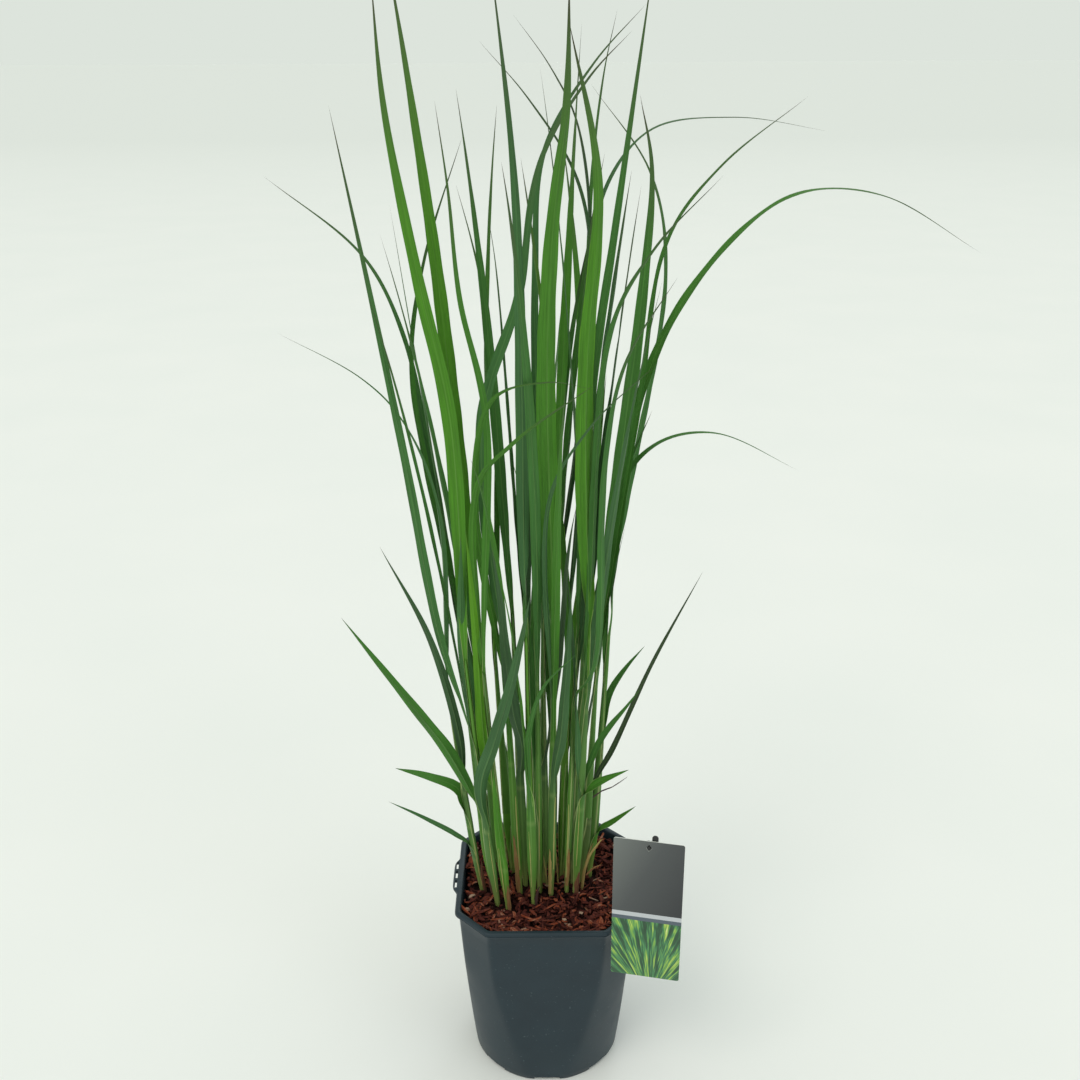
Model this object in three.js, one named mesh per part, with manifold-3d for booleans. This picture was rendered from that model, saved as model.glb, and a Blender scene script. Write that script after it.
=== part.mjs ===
// A switchgrass in its nursery pot: a clump of leafy stems in bark-covered soil, held in an
// eight-sided plastic container, with a blank plant card hung on a plastic stake.
// Millimetres, +Z up. The origin is the centre of the pot's base, and the front is -Y.
import * as THREE from "three";
import { mergeVertices } from "three/addons/utils/BufferGeometryUtils.js";
import Module from "manifold-3d";

const wasm = await Module();
wasm.setup();

// ---------------------------------------------------------------- driving dimensions

const POT = {
  height: 190,
  wall: 2,
  floor: 5,
  // A round cone, narrow at the base, carries four wide flats and four corner flats.
  cone: { base: 72, slope: 0.16, sides: 40 },
  sideFlats: { base: 70.5, slope: 0.058 },
  cornerFlats: { base: 81, slope: 0.0757 },
};
const RIM = { acrossFlats: 170, cornerCut: 30.5, height: 5.5, bevel: 1.2 };
// Shallow notches under the base, from start to end out from its middle, each with a drain.
const FEET = { count: 8, notchWidth: 25, notchHeight: 3, start: 40, end: 82, drain: 4.5, drainAt: 54 };
// A slotted strap along the top of the rim on its left and right, which slants in at its ends.
const BRACKET = { length: 50, reach: 4.2, root: 3, height: 3.5, run: 6 };
const BRACKET_SLOTS = { count: 3, length: 11, width: 2.2, out: 1.5, pitch: 13.8 };

const SOIL = { top: 170, clearance: 0.4 };
// Bark chips are strewn over the soil, and heaped up against the wall from heap.start outwards;
// tilt, pitch and lift are the most a chip gets.
const MULCH = {
  top: 176,
  chips: 84,
  spread: 86,
  heap: { height: 8, start: 60, end: 80, overrun: 1, sides: 40 },
  chip: { length: 17, width: 7, thickness: 3.4, tilt: 0.25, pitch: 0.175, lift: 1.6 },
  lengths: [0.6, 1.3],
  widths: [0.6, 1.4],
  seed: 41,
};
const STEM_HOLE = { clearance: 0.35, depth: 34 };

// The card hangs by a diamond slot; its place is the middle of its top edge.
const CARD = {
  width: 62,
  height: 148,
  thickness: 0.9,
  corner: 2,
  yaw: 12,
  place: { x: 89, y: -93, z: 297 },
  slotDrop: 7,
  slotHalf: { x: 2.4, z: 3.4 },
  curveSegments: 4,
};
// A flat plastic stake leans out of the soil to a head behind the card, with a peg in the slot.
const STAKE = {
  root: [48, -12.5, 140],
  shoulder: [91.5, -90.4, 279.5],
  width: 5,
  thickness: 2.4,
  // The head lies behind the card, and its knob shows above the card's top edge.
  headRight: 7.8,
  headWidth: 10,
  headTop: -1.5,
  headDrop: 24,
  knobWidth: 5.6,
  knobRise: 4.6,
  knobCorner: 1.6,
  clearance: 0.35,
  // The peg is this much smaller than the slot, and stands this far proud of the card.
  pegClearance: 0.525,
  pegProud: 0.5,
};

// The middle of the clump, and the level of the bark that its stems come out of.
const CLUMP = { x: -8, y: 2, soil: 176 };
// How far the stems fan out over the first 280 mm above the bark: less to the right.
const FAN = { rise: 280, left: 0.56, right: 0.36, depth: 0.62, drift: -2, curve: 0.85 };
const STEM = { radius: 3.1, topRadius: 1.4, taper: 1.5, aboveCollar: 6, sides: 6, segments: 4 };
// A blade is folded along its keel. It swells from its base, and tapers to a point.
const BLADE = {
  thickness: 1.3,
  keel: { base: 0.4, share: 0.35 },
  fold: 0.3,
  foldTip: 0.12,
  baseWidth: 0.42,
  swellEnd: 0.3,
  taper: 2.2,
  point: 1.05,
  guide: 40,
  waySteps: 60,
  segmentLength: 85,
  segmentTurn: 0.3,
  fewestSegments: 4,
  mostSegments: 12,
};
// How blades that meet are pushed apart: a push fades over the spread along the blade, is
// weaker near the collar, and is evened out before the next sweep.
const SETTLE = {
  sweeps: 44,
  clearance: 1.9,
  reach: 9,
  spread: 85,
  samples: 6,
  longest: 4,
  margin: 2,
  window: 0.6,
  ownStem: 0.25,
  collar: [0.01, 0.2],
  stemAbove: 4,
  stemStart: 0.3,
  boxMargin: 4,
  ease: 0.25,
  hold: 0.985,
};

// Each stem's place at the soil, and how many blades grow on it by rule.
const STEMS = [
  { root: [-61, -6], ruled: 0 },
  { root: [-46, -24], ruled: 0 },
  { root: [-36, -29], ruled: 0 },
  { root: [-42, 6], ruled: 1 },
  { root: [-25, -7], ruled: 1 },
  { root: [-12, -22], ruled: 1 },
  { root: [-20, 6], ruled: 1 },
  { root: [-6, -5], ruled: 2 },
  { root: [5, -9], ruled: 2 },
  { root: [15, 16], ruled: 3 },
  { root: [20, -4], ruled: 3 },
  { root: [28, -7], ruled: 2 },
  { root: [35, 8], ruled: 0 },
  { root: [43, 20], ruled: 0 },
  { root: [-51, 18], ruled: 1 },
  { root: [-33, 26], ruled: 1 },
  { root: [-12, 28], ruled: 2 },
  { root: [6, 33], ruled: 3 },
  { root: [27, 32], ruled: 2 },
  { root: [-2, 11], ruled: 3 },
  { root: [-50, -9], ruled: 1 },
  { root: [26, 9], ruled: 3 },
];

// Blades placed one by one: the stem, the collar's height, the widest width, how far the face
// is rolled at the collar and at the tip, and the way from above the collar to the tip.
const PLACED_BLADES = [
  blade(2, 350, 9, [60, 80], [-90, -34, 462], [-112, -39, 626], [-131, -47, 761], [-151, -55, 893]),
  blade(2, 440, 15, [-70, -60], [-76, -20, 653], [-98, -12, 766], [-119, -1, 891], [-125, 10, 982]),
  blade(3, 290, 12, [80, 60], [-54, -36, 356], [-57, -43, 440], [-61, -50, 520], [-64, -56, 572]),
  blade(2, 320, 15, [25, 40], [-64, -27, 376], [-67, -31, 415], [-71, -36, 470], [-69, -42, 560]),
  blade(4, 430, 16, [-15, -25], [-84, 18, 745], [-101, 29, 890], [-112, 44, 964], [-119, 60, 999]),
  blade(3, 430, 8, [-75, -60], [-44, -28, 655], [-64, -26, 754], [-71, -23, 833], [-79, -20, 895]),
  blade(4, 360, 9, [50, 35], [-102, 19, 606], [-111, 33, 691], [-99, 50, 767], [-65, 70, 865]),
  blade(16, 400, 7, [10, 0], [-42, 48, 651], [-52, 59, 746], [-61, 74, 784], [-73, 90, 825]),
  blade(17, 390, 6, [35, 20], [-31, 50, 650], [-40, 76, 759], [-47, 110, 797]),
  blade(15, 380, 7, [-15, -35], [-99, 40, 608], [-119, 56, 707], [-152, 77, 768], [-236, 100, 832]),
  blade(1, 400, 8, [50, 20], [-90, -10, 575], [-116, -10, 650], [-147, -10, 685], [-211, -10, 722]),
  blade(1, 290, 9, [60, 40], [-77, -18, 352], [-98, -36, 463], [-133, -60, 560]),
  blade(21, 262, 13, [55, 60], [-86, -30, 345], [-108, -56, 401], [-163, -90, 511]),
  blade(1, 252, 12, [-30, -35], [-80, -8, 292], [-108, -4, 304], [-143, 20, 298]),
  blade(1, 214, 6, [-35, -40], [-80, -9, 238], [-113, -10, 262], [-145, -20, 288]),
  blade(6, 460, 12, [70, 90], [-17, -33, 673], [-21, -38, 837], [-33, -43, 960], [-37, -50, 990]),
  blade(
    5, 430, 12, [70, 60],
    [-50, -16, 650], [-18, -13, 752], [0, -14, 851], [36, -17, 910], [66, -20, 941],
  ),
  blade(9, 450, 20, [20, 15], [2, -30, 700], [7, -42, 810], [16, -62, 891], [17, -90, 975]),
  blade(12, 450, 19, [60, 55], [36, -18, 700], [41, -30, 840], [18, -50, 947]),
  blade(18, 450, 7, [60, 60], [38, 43, 737], [28, 48, 870], [7, 53, 914], [-23, 60, 954]),
  blade(10, 440, 7, [60, 50], [36, 24, 740], [23, 23, 833], [-13, 22, 892], [-51, 20, 935]),
  blade(11, 440, 10, [70, 90], [37, -12, 667], [54, -14, 801], [68, -17, 910], [78, -20, 989]),
  blade(20, 450, 8, [60, 50], [-7, 22, 757], [1, 32, 856], [38, 45, 917], [80, 60, 961]),
  blade(19, 450, 8, [60, 60], [38, 56, 815], [48, 84, 906], [61, 120, 959]),
  blade(13, 440, 16, [65, 60], [66, 19, 626], [79, 24, 743], [85, 32, 842], [75, 40, 896]),
  blade(
    14, 430, 11, [60, 0],
    [81, 34, 654], [127, 39, 754], [198, 46, 818], [272, 53, 819], [365, 60, 770],
  ),
  blade(
    19, 420, 8, [60, 0],
    [36, 52, 740], [46, 56, 822], [84, 72, 868], [157, 89, 877], [242, 110, 864],
  ),
  blade(13, 390, 8, [60, 50], [79, 10, 660], [97, 2, 792], [134, -9, 847], [193, -20, 896]),
  blade(12, 400, 9, [-20, -30], [50, -19, 721], [80, -41, 789], [126, -70, 846]),
  blade(19, 350, 9, [45, 45], [76, 52, 576], [102, 62, 759], [88, 75, 835], [39, 90, 903]),
  blade(11, 380, 8, [-20, -30], [45, -22, 628], [61, -38, 706], [97, -60, 774]),
  blade(14, 380, 8, [40, 0], [66, 39, 571], [98, 53, 608], [152, 70, 613], [235, 90, 570]),
  blade(22, 390, 7, [60, 60], [69, 18, 587], [91, 10, 651]),
  blade(9, 380, 6, [-10, -20], [3, -35, 589], [35, -59, 659], [83, -90, 717]),
  blade(13, 245, 6, [60, 60], [46, 11, 287], [62, 8, 324], [96, 0, 420], [136, -10, 515]),
  blade(14, 318, 9, [30, 20], [60, 34, 368], [74, 42, 390], [94, 50, 412]),
  blade(12, 272, 10, [65, 60], [43, -16, 300], [52, -26, 314], [74, -44, 337]),
  blade(14, 205, 8, [50, 45], [55, 20, 228], [65, 17, 238], [86, 8, 262]),
  blade(5, 400, 8, [-5, -40], [-57, -28, 587], [-40, -47, 679], [3, -72, 700], [36, -100, 702]),
  blade(3, 400, 8, [-5, -40], [-55, -49, 601], [-23, -84, 654], [34, -130, 710]),
  blade(
    2, 262, 15, [-20, -25],
    [-57, -38, 320], [-44, -52, 372], [-30, -62, 427], [-20, -72, 476], [-11, -86, 530],
  ),
  blade(6, 270, 6, [-5, -20], [-19, -39, 363], [-6, -74, 436], [23, -120, 495]),
  blade(
    7, 285, 15, [-5, 0],
    [-20, -24, 352], [-26, -34, 386], [-33, -42, 453], [-36, -50, 500], [-42, -63, 558],
  ),
  blade(
    9, 290, 12, [-60, -50],
    [9, -22, 330], [13, -28, 356], [17, -34, 413], [20, -38, 466], [22, -42, 514],
  ),
  blade(12, 285, 8, [60, 60], [46, -4, 332], [57, -8, 357], [72, -16, 384], [84, -22, 407]),
  blade(3, 222, 9, [55, 45], [-44, -44, 290], [-47, -50, 344]),
  blade(16, 218, 9, [20, 15], [-36, 34, 262], [-38, 40, 314]),
];

// Blades that grow by rule, lowest first.
const RULED_BLADES = [
  { collar: 110, length: 280, spread: 46, width: 9 },
  { collar: 170, length: 380, spread: 44, width: 10 },
  { collar: 215, length: 450, spread: 38, width: 11 },
  { collar: 255, length: 460, spread: 24, width: 11 },
];
const RULE = {
  seed: 2025,
  // The leftmost shoots have narrower leaves.
  leftWidth: 0.62,
  leftShoots: [-50, -20],
  sidewaysSpread: 0.15,
  deepening: 1.8,
  turn: 35,
  jitter: 0.14,
  roll: 90,
  inward: 0.6,
  startBend: 4,
  curl: 1.7,
  leanOver: 20,
};

const FINISHES = {
  pot: { color: "#3a4047", roughness: 0.5 },
  soil: { color: "#2b1d15", roughness: 0.95 },
  bark: { color: "#6b3a26", roughness: 0.85 },
  card: { color: "#3c4042", roughness: 0.35 },
  stake: { color: "#17181a", roughness: 0.45 },
  grass: { color: "#3f7a2b", roughness: 0.55 },
};

function blade(stem, collar, width, roll, ...way) {
  return { stem, collar, width, roll, way };
}

// ---------------------------------------------------------------- small tools

function seededRandom(seed) {
  let state = seed;
  return () => {
    state = (state * 16807) % 2147483647;
    return state / 2147483647;
  };
}

const radians = (degrees) => (degrees * Math.PI) / 180;
const mix = (a, b, share) => a + (b - a) * share;
const clamp = (value, low, high) => Math.min(high, Math.max(low, value));

function ease(low, high, value) {
  const share = clamp((value - low) / (high - low), 0, 1);
  return share * share * (3 - 2 * share);
}

function solid(geometry) {
  const bare = geometry.clone();
  bare.deleteAttribute("normal");
  bare.deleteAttribute("uv");
  const merged = mergeVertices(bare, 1e-4);
  const mesh = new wasm.Mesh({
    numProp: 3,
    vertProperties: Float32Array.from(merged.attributes.position.array),
    triVerts: Uint32Array.from(merged.index.array),
  });
  return new wasm.Manifold(mesh);
}

function geometryOf(body) {
  const mesh = body.getMesh();
  const geometry = new THREE.BufferGeometry();
  geometry.setAttribute("position", new THREE.BufferAttribute(mesh.vertProperties, 3));
  geometry.setIndex(new THREE.BufferAttribute(mesh.triVerts, 1));
  geometry.computeVertexNormals();
  return geometry;
}

function node(name, body, finish) {
  const material = new THREE.MeshStandardMaterial({ ...finish, metalness: 0 });
  const mesh = new THREE.Mesh(geometryOf(body), material);
  mesh.name = name;
  return mesh;
}

// A prism or cone frustum of the given sides about Z, measured to its flats.
function frustum(sides, lowApothem, highApothem, bottom, top, turn) {
  const corner = 1 / Math.cos(Math.PI / sides);
  const shape = new THREE.CylinderGeometry(highApothem * corner, lowApothem * corner, top - bottom, sides);
  shape.rotateX(Math.PI / 2);
  shape.rotateZ(turn);
  shape.translate(0, 0, (bottom + top) / 2);
  return solid(shape);
}

function block(width, depth, height, x, y, z, turn = 0) {
  const shape = new THREE.BoxGeometry(width, depth, height);
  shape.translate(x, y, z);
  shape.rotateZ(turn);
  return solid(shape);
}

// ---------------------------------------------------------------- pot

// The pot's outer form, drawn in by an inset: a cone cut by the side and corner flats.
function potForm(inset, bottom, top) {
  const cut = (face, z) => face.base + face.slope * z - inset;
  const { cone, sideFlats, cornerFlats } = POT;
  const round = frustum(cone.sides, cut(cone, bottom), cut(cone, top), bottom, top, 0);
  const square = frustum(4, cut(sideFlats, bottom), cut(sideFlats, top), bottom, top, Math.PI / 4);
  const corners = frustum(4, cut(cornerFlats, bottom), cut(cornerFlats, top), bottom, top, 0);
  return round.intersect(square).intersect(corners);
}

function rimOutline() {
  const half = RIM.acrossFlats / 2 - RIM.bevel;
  const flat = half - RIM.cornerCut + RIM.bevel * Math.tan(Math.PI / 8);
  const shape = new THREE.Shape();
  shape.moveTo(half, flat);
  shape.lineTo(flat, half);
  shape.lineTo(-flat, half);
  shape.lineTo(-half, flat);
  shape.lineTo(-half, -flat);
  shape.lineTo(-flat, -half);
  shape.lineTo(flat, -half);
  shape.lineTo(half, -flat);
  shape.closePath();
  return shape;
}

function rimBand() {
  const band = new THREE.ExtrudeGeometry(rimOutline(), {
    depth: RIM.height - 2 * RIM.bevel,
    bevelThickness: RIM.bevel,
    bevelSize: RIM.bevel,
    bevelSegments: 2,
  });
  band.translate(0, 0, POT.height - RIM.height + RIM.bevel);
  return solid(band);
}

// A thin strap outside the rim, which takes a card's tongue in its slots.
function bracketStrap(side) {
  const { length, reach, root, height, run } = BRACKET;
  const [inner, outer] = [RIM.acrossFlats / 2 - root, RIM.acrossFlats / 2 + reach];
  const end = length / 2;
  const strap = new THREE.Shape();
  strap.moveTo(inner, -end);
  strap.lineTo(outer - reach, -end);
  strap.lineTo(outer, run - end);
  strap.lineTo(outer, end - run);
  strap.lineTo(outer - reach, end);
  strap.lineTo(inner, end);
  strap.closePath();
  const geometry = new THREE.ExtrudeGeometry(strap, { depth: height, bevelEnabled: false });
  geometry.rotateZ(side > 0 ? 0 : Math.PI);
  geometry.translate(0, 0, POT.height - height);
  return solid(geometry);
}

function bracketSlots(side) {
  const { count, length, width, out, pitch } = BRACKET_SLOTS;
  const x = side * (RIM.acrossFlats / 2 + out);
  const slots = [];
  for (let slot = 0; slot < count; slot += 1) {
    const y = (slot - (count - 1) / 2) * pitch;
    slots.push(block(width, length, 3 * RIM.height, x, y, POT.height));
  }
  return wasm.Manifold.union(slots);
}

function makePot() {
  let body = potForm(0, 0, POT.height - RIM.bevel).add(rimBand());
  [-1, 1].forEach((side) => {
    body = body.add(bracketStrap(side)).subtract(bracketSlots(side));
  });
  body = body.subtract(potForm(POT.wall, POT.floor, POT.height + RIM.height));
  for (let foot = 0; foot < FEET.count; foot += 1) {
    const turn = (foot * 2 * Math.PI) / FEET.count;
    const middle = (FEET.start + FEET.end) / 2;
    const reach = FEET.end - FEET.start;
    body = body.subtract(block(reach, FEET.notchWidth, 2 * FEET.notchHeight, middle, 0, 0, turn));
    const drain = new THREE.CylinderGeometry(FEET.drain, FEET.drain, 3 * POT.floor, 12);
    drain.rotateX(Math.PI / 2);
    drain.translate(FEET.drainAt, 0, 0);
    drain.rotateZ(turn);
    body = body.subtract(solid(drain));
  }
  return body;
}

// ---------------------------------------------------------------- stems

function stemAxis(stem, z) {
  const [x, y] = stem.root;
  const share = Math.max(0, z - CLUMP.soil) / FAN.rise;
  const lean = share ** FAN.curve;
  const away = x - CLUMP.x;
  const out = away * (away > 0 ? FAN.right : FAN.left) + FAN.drift;
  return new THREE.Vector3(x + out * lean, y + (y - CLUMP.y) * FAN.depth * lean, z);
}

const stemRadius = (stem, z) => {
  const share = clamp((z - CLUMP.soil) / (stem.top - CLUMP.soil), 0, 1);
  return mix(STEM.radius, STEM.topRadius, share ** STEM.taper);
};

function stemBody(stem) {
  const bottom = CLUMP.soil - STEM_HOLE.depth;
  const shape = new THREE.CylinderGeometry(1, 1, 1, STEM.sides, STEM.segments + 1);
  const position = shape.attributes.position;
  for (let index = 0; index < position.count; index += 1) {
    const row = Math.round((position.getY(index) + 0.5) * (STEM.segments + 1));
    const z = row === 0 ? bottom : mix(CLUMP.soil, stem.top, (row - 1) / STEM.segments);
    const centre = stemAxis(stem, z);
    const radius = stemRadius(stem, z);
    position.setXYZ(
      index,
      centre.x + position.getZ(index) * radius,
      centre.y + position.getX(index) * radius,
      z,
    );
  }
  return solid(shape);
}

function stemHole(stem, bottom, top) {
  const radius = STEM.radius + STEM_HOLE.clearance / Math.cos(Math.PI / STEM.sides);
  const shape = new THREE.CylinderGeometry(radius, radius, top - bottom, STEM.sides);
  const position = shape.attributes.position;
  for (let index = 0; index < position.count; index += 1) {
    position.setXYZ(
      index,
      stem.root[0] + position.getZ(index),
      stem.root[1] + position.getX(index),
      position.getY(index) + (bottom + top) / 2,
    );
  }
  return solid(shape);
}

// ---------------------------------------------------------------- blades

function placedWay(stem, blade) {
  const guide = stemAxis(stem, blade.collar - BLADE.guide);
  const points = [guide, stemAxis(stem, blade.collar)];
  blade.way.forEach((place) => points.push(new THREE.Vector3(...place)));
  const curve = new THREE.CatmullRomCurve3(points, false, "centripetal");
  const start = 1 / (points.length - 1);
  const way = [];
  for (let step = 0; step <= BLADE.waySteps; step += 1) {
    way.push(curve.getPoint(mix(start, 1, step / BLADE.waySteps)));
  }
  return way;
}

// An arch in an upright plane: it leaves along the stem and bends out towards its tip.
function ruledWay(stem, blade) {
  const here = stemAxis(stem, blade.collar);
  const below = stemAxis(stem, blade.collar - RULE.leanOver);
  const lean = new THREE.Vector2(here.x - below.x, here.y - below.y).divideScalar(RULE.leanOver);
  const way = [here.clone()];
  const stride = blade.length / BLADE.waySteps;
  for (let step = 0; step < BLADE.waySteps; step += 1) {
    const share = (step + 0.5) / BLADE.waySteps;
    const bend = radians(RULE.startBend + blade.spread * share ** RULE.curl);
    const out = Math.sin(bend);
    const hold = 1 - share;
    here.x += (Math.cos(blade.azimuth) * out + lean.x * hold) * stride;
    here.y += (Math.sin(blade.azimuth) * out + lean.y * hold) * stride;
    here.z += Math.cos(bend) * stride;
    way.push(here.clone());
  }
  return way;
}

function resample(way, segments) {
  const lengths = [0];
  for (let index = 1; index < way.length; index += 1) {
    lengths.push(lengths[index - 1] + way[index].distanceTo(way[index - 1]));
  }
  const total = lengths[lengths.length - 1];
  const rows = [];
  let index = 1;
  for (let row = 0; row <= segments; row += 1) {
    const goal = (total * row) / segments;
    while (index < way.length - 1 && lengths[index] < goal) index += 1;
    const share = clamp((goal - lengths[index - 1]) / (lengths[index] - lengths[index - 1]), 0, 1);
    rows.push(way[index - 1].clone().lerp(way[index], share));
  }
  return { rows, total };
}

function makeBlade(stemIndex, blade, way) {
  const turned = way.slice(2).reduce((sum, point, index) => {
    const before = new THREE.Vector3().subVectors(way[index + 1], way[index]);
    return sum + before.angleTo(new THREE.Vector3().subVectors(point, way[index + 1]));
  }, 0);
  const wanted = Math.round(resample(way, 1).total / BLADE.segmentLength + turned / BLADE.segmentTurn);
  const segments = clamp(wanted, BLADE.fewestSegments, BLADE.mostSegments);
  const { rows, total } = resample(way, segments);
  const out = new THREE.Vector3().subVectors(rows[segments], rows[0]).setZ(0).normalize();
  const across = new THREE.Vector3(0, 0, 1).cross(out);
  const home = rows.map((row) => row.clone());
  return { stem: stemIndex, rows, home, segments, total, across, width: blade.width, roll: blade.roll };
}

const bladeWidth = (blade, share) => {
  const swell = mix(BLADE.baseWidth, 1, ease(0, BLADE.swellEnd, share));
  return blade.width * swell * (1 - share ** BLADE.taper) ** BLADE.point;
};
const bladeFold = (share) => mix(BLADE.fold, BLADE.foldTip, share);
const keelDepth = (width) => Math.min(BLADE.thickness, BLADE.keel.base + BLADE.keel.share * width);

// The blade's own directions at each row: along, across and out of the upper face.
function bladeFrames(blade) {
  return blade.rows.map((centre, row) => {
    const before = blade.rows[Math.max(0, row - 1)];
    const after = blade.rows[Math.min(blade.segments, row + 1)];
    const along = new THREE.Vector3().subVectors(after, before).normalize();
    const share = row / blade.segments;
    const level = blade.across.clone().addScaledVector(along, -blade.across.dot(along)).normalize();
    const up = new THREE.Vector3().crossVectors(along, level);
    const roll = radians(mix(blade.roll[0], blade.roll[1], ease(0, 1, share)));
    const across = level.clone().multiplyScalar(Math.cos(roll)).addScaledVector(up, Math.sin(roll));
    const face = new THREE.Vector3().crossVectors(along, across);
    return { centre, along, across, face, width: bladeWidth(blade, share), fold: bladeFold(share) };
  });
}

// A long four-sided cone: its corners are the keel, an edge, the valley and the other edge.
// Each face is split from its keel or valley up to its edge, alike above and below, so that
// the faces of a twisted blade never cross.
function bladeCone(segments) {
  const shape = new THREE.ConeGeometry(1, 1, 4, segments);
  const faces = [];
  for (let row = 0; row < segments; row += 1) {
    for (let side = 0; side < 4; side += 1) {
      const [tipward, next] = [row * 5 + side, row * 5 + side + 1];
      const [baseward, baseNext] = [tipward + 5, next + 5];
      const towardsEdge = side % 2 === 0;
      if (row > 0) faces.push(tipward, towardsEdge ? baseward : baseNext, next);
      faces.push(baseward, baseNext, towardsEdge ? next : tipward);
    }
  }
  const baseCap = shape.index.array.slice(-12);
  shape.setIndex([...faces, ...baseCap]);
  return shape;
}

function bladeBody(blade) {
  const frames = bladeFrames(blade);
  const shape = bladeCone(blade.segments);
  const position = shape.attributes.position;
  for (let index = 0; index < position.count; index += 1) {
    const row = Math.round((position.getY(index) + 0.5) * blade.segments);
    const corner = new THREE.Vector2(position.getX(index), position.getZ(index));
    const frame = frames[row];
    const half = frame.width / 2;
    const point = frame.centre.clone();
    const reach = corner.length();
    if (reach > 1e-6) {
      const side = corner.x / reach;
      const keel = corner.y / reach;
      const lift = Math.abs(side) * half * frame.fold - Math.max(0, keel) * keelDepth(frame.width);
      point.addScaledVector(frame.across, side * half).addScaledVector(frame.face, lift);
    } else if (row === 0) {
      point.addScaledVector(frame.face, -keelDepth(frame.width) / 2);
    }
    position.setXYZ(index, point.x, point.y, point.z);
  }
  return solid(shape);
}

// ---------------------------------------------------------------- keeping the blades apart

// Points over a blade's face, each with the face's own directions there.
function ribbonOf(blade) {
  const frames = bladeFrames(blade);
  const stride = blade.total / blade.segments / SETTLE.samples;
  const ribbon = [];
  for (let row = 0; row < blade.segments; row += 1) {
    const [low, high] = [frames[row], frames[row + 1]];
    for (let step = 0; step < SETTLE.samples; step += 1) {
      const share = step / SETTLE.samples;
      const half = mix(low.width, high.width, share) / 2;
      const fold = mix(low.fold, high.fold, share);
      const centre = low.centre.clone().lerp(high.centre, share);
      const across = low.across.clone().lerp(high.across, share);
      const face = low.face.clone().lerp(high.face, share);
      const along = low.along.clone().lerp(high.along, share);
      const edges = [-1, 0, 1].map((side) => {
        const lift = Math.abs(side) * half * fold;
        return centre.clone().addScaledVector(across, side * half).addScaledVector(face, lift);
      });
      ribbon.push({ at: row + share, centre, across, face, along, half, fold, edges, stride });
    }
  }
  return ribbon;
}

const mobility = (blade, at) => ease(...SETTLE.collar, at / blade.segments);

function push(blade, at, direction, amount) {
  const rowLength = blade.total / blade.segments;
  for (let row = 1; row <= blade.segments; row += 1) {
    const away = ((row - at) * rowLength) / SETTLE.spread;
    const weight = Math.exp(-away * away) * mobility(blade, row);
    blade.rows[row].addScaledVector(direction, amount * weight);
  }
}

// How far the other blade's points lie from this blade's face, where they cross it.
function crossing(ribbon, other, sameStem) {
  const gap = new THREE.Vector3();
  let sum = 0;
  const found = [];
  for (const [index, here] of ribbon.entries()) {
    if (sameStem && index < SETTLE.ownStem * ribbon.length) continue;
    for (const [otherIndex, there] of other.entries()) {
      if (sameStem && otherIndex < SETTLE.ownStem * other.length) continue;
      const reach = here.half + there.half + SETTLE.clearance + SETTLE.margin;
      if (here.centre.distanceToSquared(there.centre) > reach * reach) continue;
      for (const point of there.edges) {
        gap.subVectors(point, here.centre);
        if (Math.abs(gap.dot(here.along)) > SETTLE.window * here.stride) continue;
        const side = Math.abs(gap.dot(here.across));
        if (side > here.half + SETTLE.clearance) continue;
        const height = gap.dot(here.face) - here.fold * Math.min(side, here.half);
        if (Math.abs(height) > SETTLE.reach) continue;
        sum += height;
        found.push([height, here, there]);
      }
    }
  }
  const side = sum < 0 ? -1 : 1;
  let worst = null;
  for (const [height, here, there] of found) {
    const lack = SETTLE.clearance - side * height;
    if (lack > 0 && (worst === null || lack > worst.lack)) worst = { lack, side, here, there };
  }
  return worst;
}

function part(blade, ribbon, other, otherRibbon) {
  const worst = crossing(ribbon, otherRibbon, blade.stem === other.stem);
  if (worst === null) return false;
  const own = mobility(blade, worst.here.at);
  const others = mobility(other, worst.there.at);
  if (own + others < 1e-3) return false;
  const amount = (worst.side * Math.min(worst.lack, SETTLE.longest)) / (own + others);
  const direction = worst.here.face.clone();
  push(other, worst.there.at, direction, amount * others);
  push(blade, worst.here.at, direction, -amount * own);
  return true;
}

// A blade that runs into another stem is pressed sideways off it.
function clearStem(blade, ribbon, stem) {
  let worst = null;
  for (const here of ribbon) {
    if (here.centre.z > stem.top + SETTLE.stemAbove || here.at < SETTLE.stemStart) continue;
    const axis = stemAxis(stem, here.centre.z);
    const need = stemRadius(stem, here.centre.z) + SETTLE.clearance;
    for (const point of here.edges) {
      const lack = need - Math.hypot(point.x - axis.x, point.y - axis.y);
      if (lack > 0 && (worst === null || lack > worst.lack)) worst = { lack, here, axis };
    }
  }
  if (worst === null) return false;
  const direction = new THREE.Vector3().subVectors(worst.here.centre, worst.axis).setZ(0).normalize();
  push(blade, worst.here.at, direction, worst.lack);
  return true;
}

// Evens out how far the rows have moved, so that no blade is kinked by a push.
function relax(blade) {
  const moved = blade.rows.map((row, index) => new THREE.Vector3().subVectors(row, blade.home[index]));
  for (let row = 1; row <= blade.segments; row += 1) {
    const next = moved[Math.min(blade.segments, row + 1)];
    const even = new THREE.Vector3().addVectors(moved[row - 1], next).multiplyScalar(0.5);
    const shift = moved[row].clone().lerp(even, SETTLE.ease).multiplyScalar(SETTLE.hold);
    blade.rows[row].addVectors(blade.home[row], shift);
  }
}

function boxOf(blade) {
  return new THREE.Box3().setFromPoints(blade.rows).expandByScalar(blade.width / 2 + SETTLE.boxMargin);
}

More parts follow.
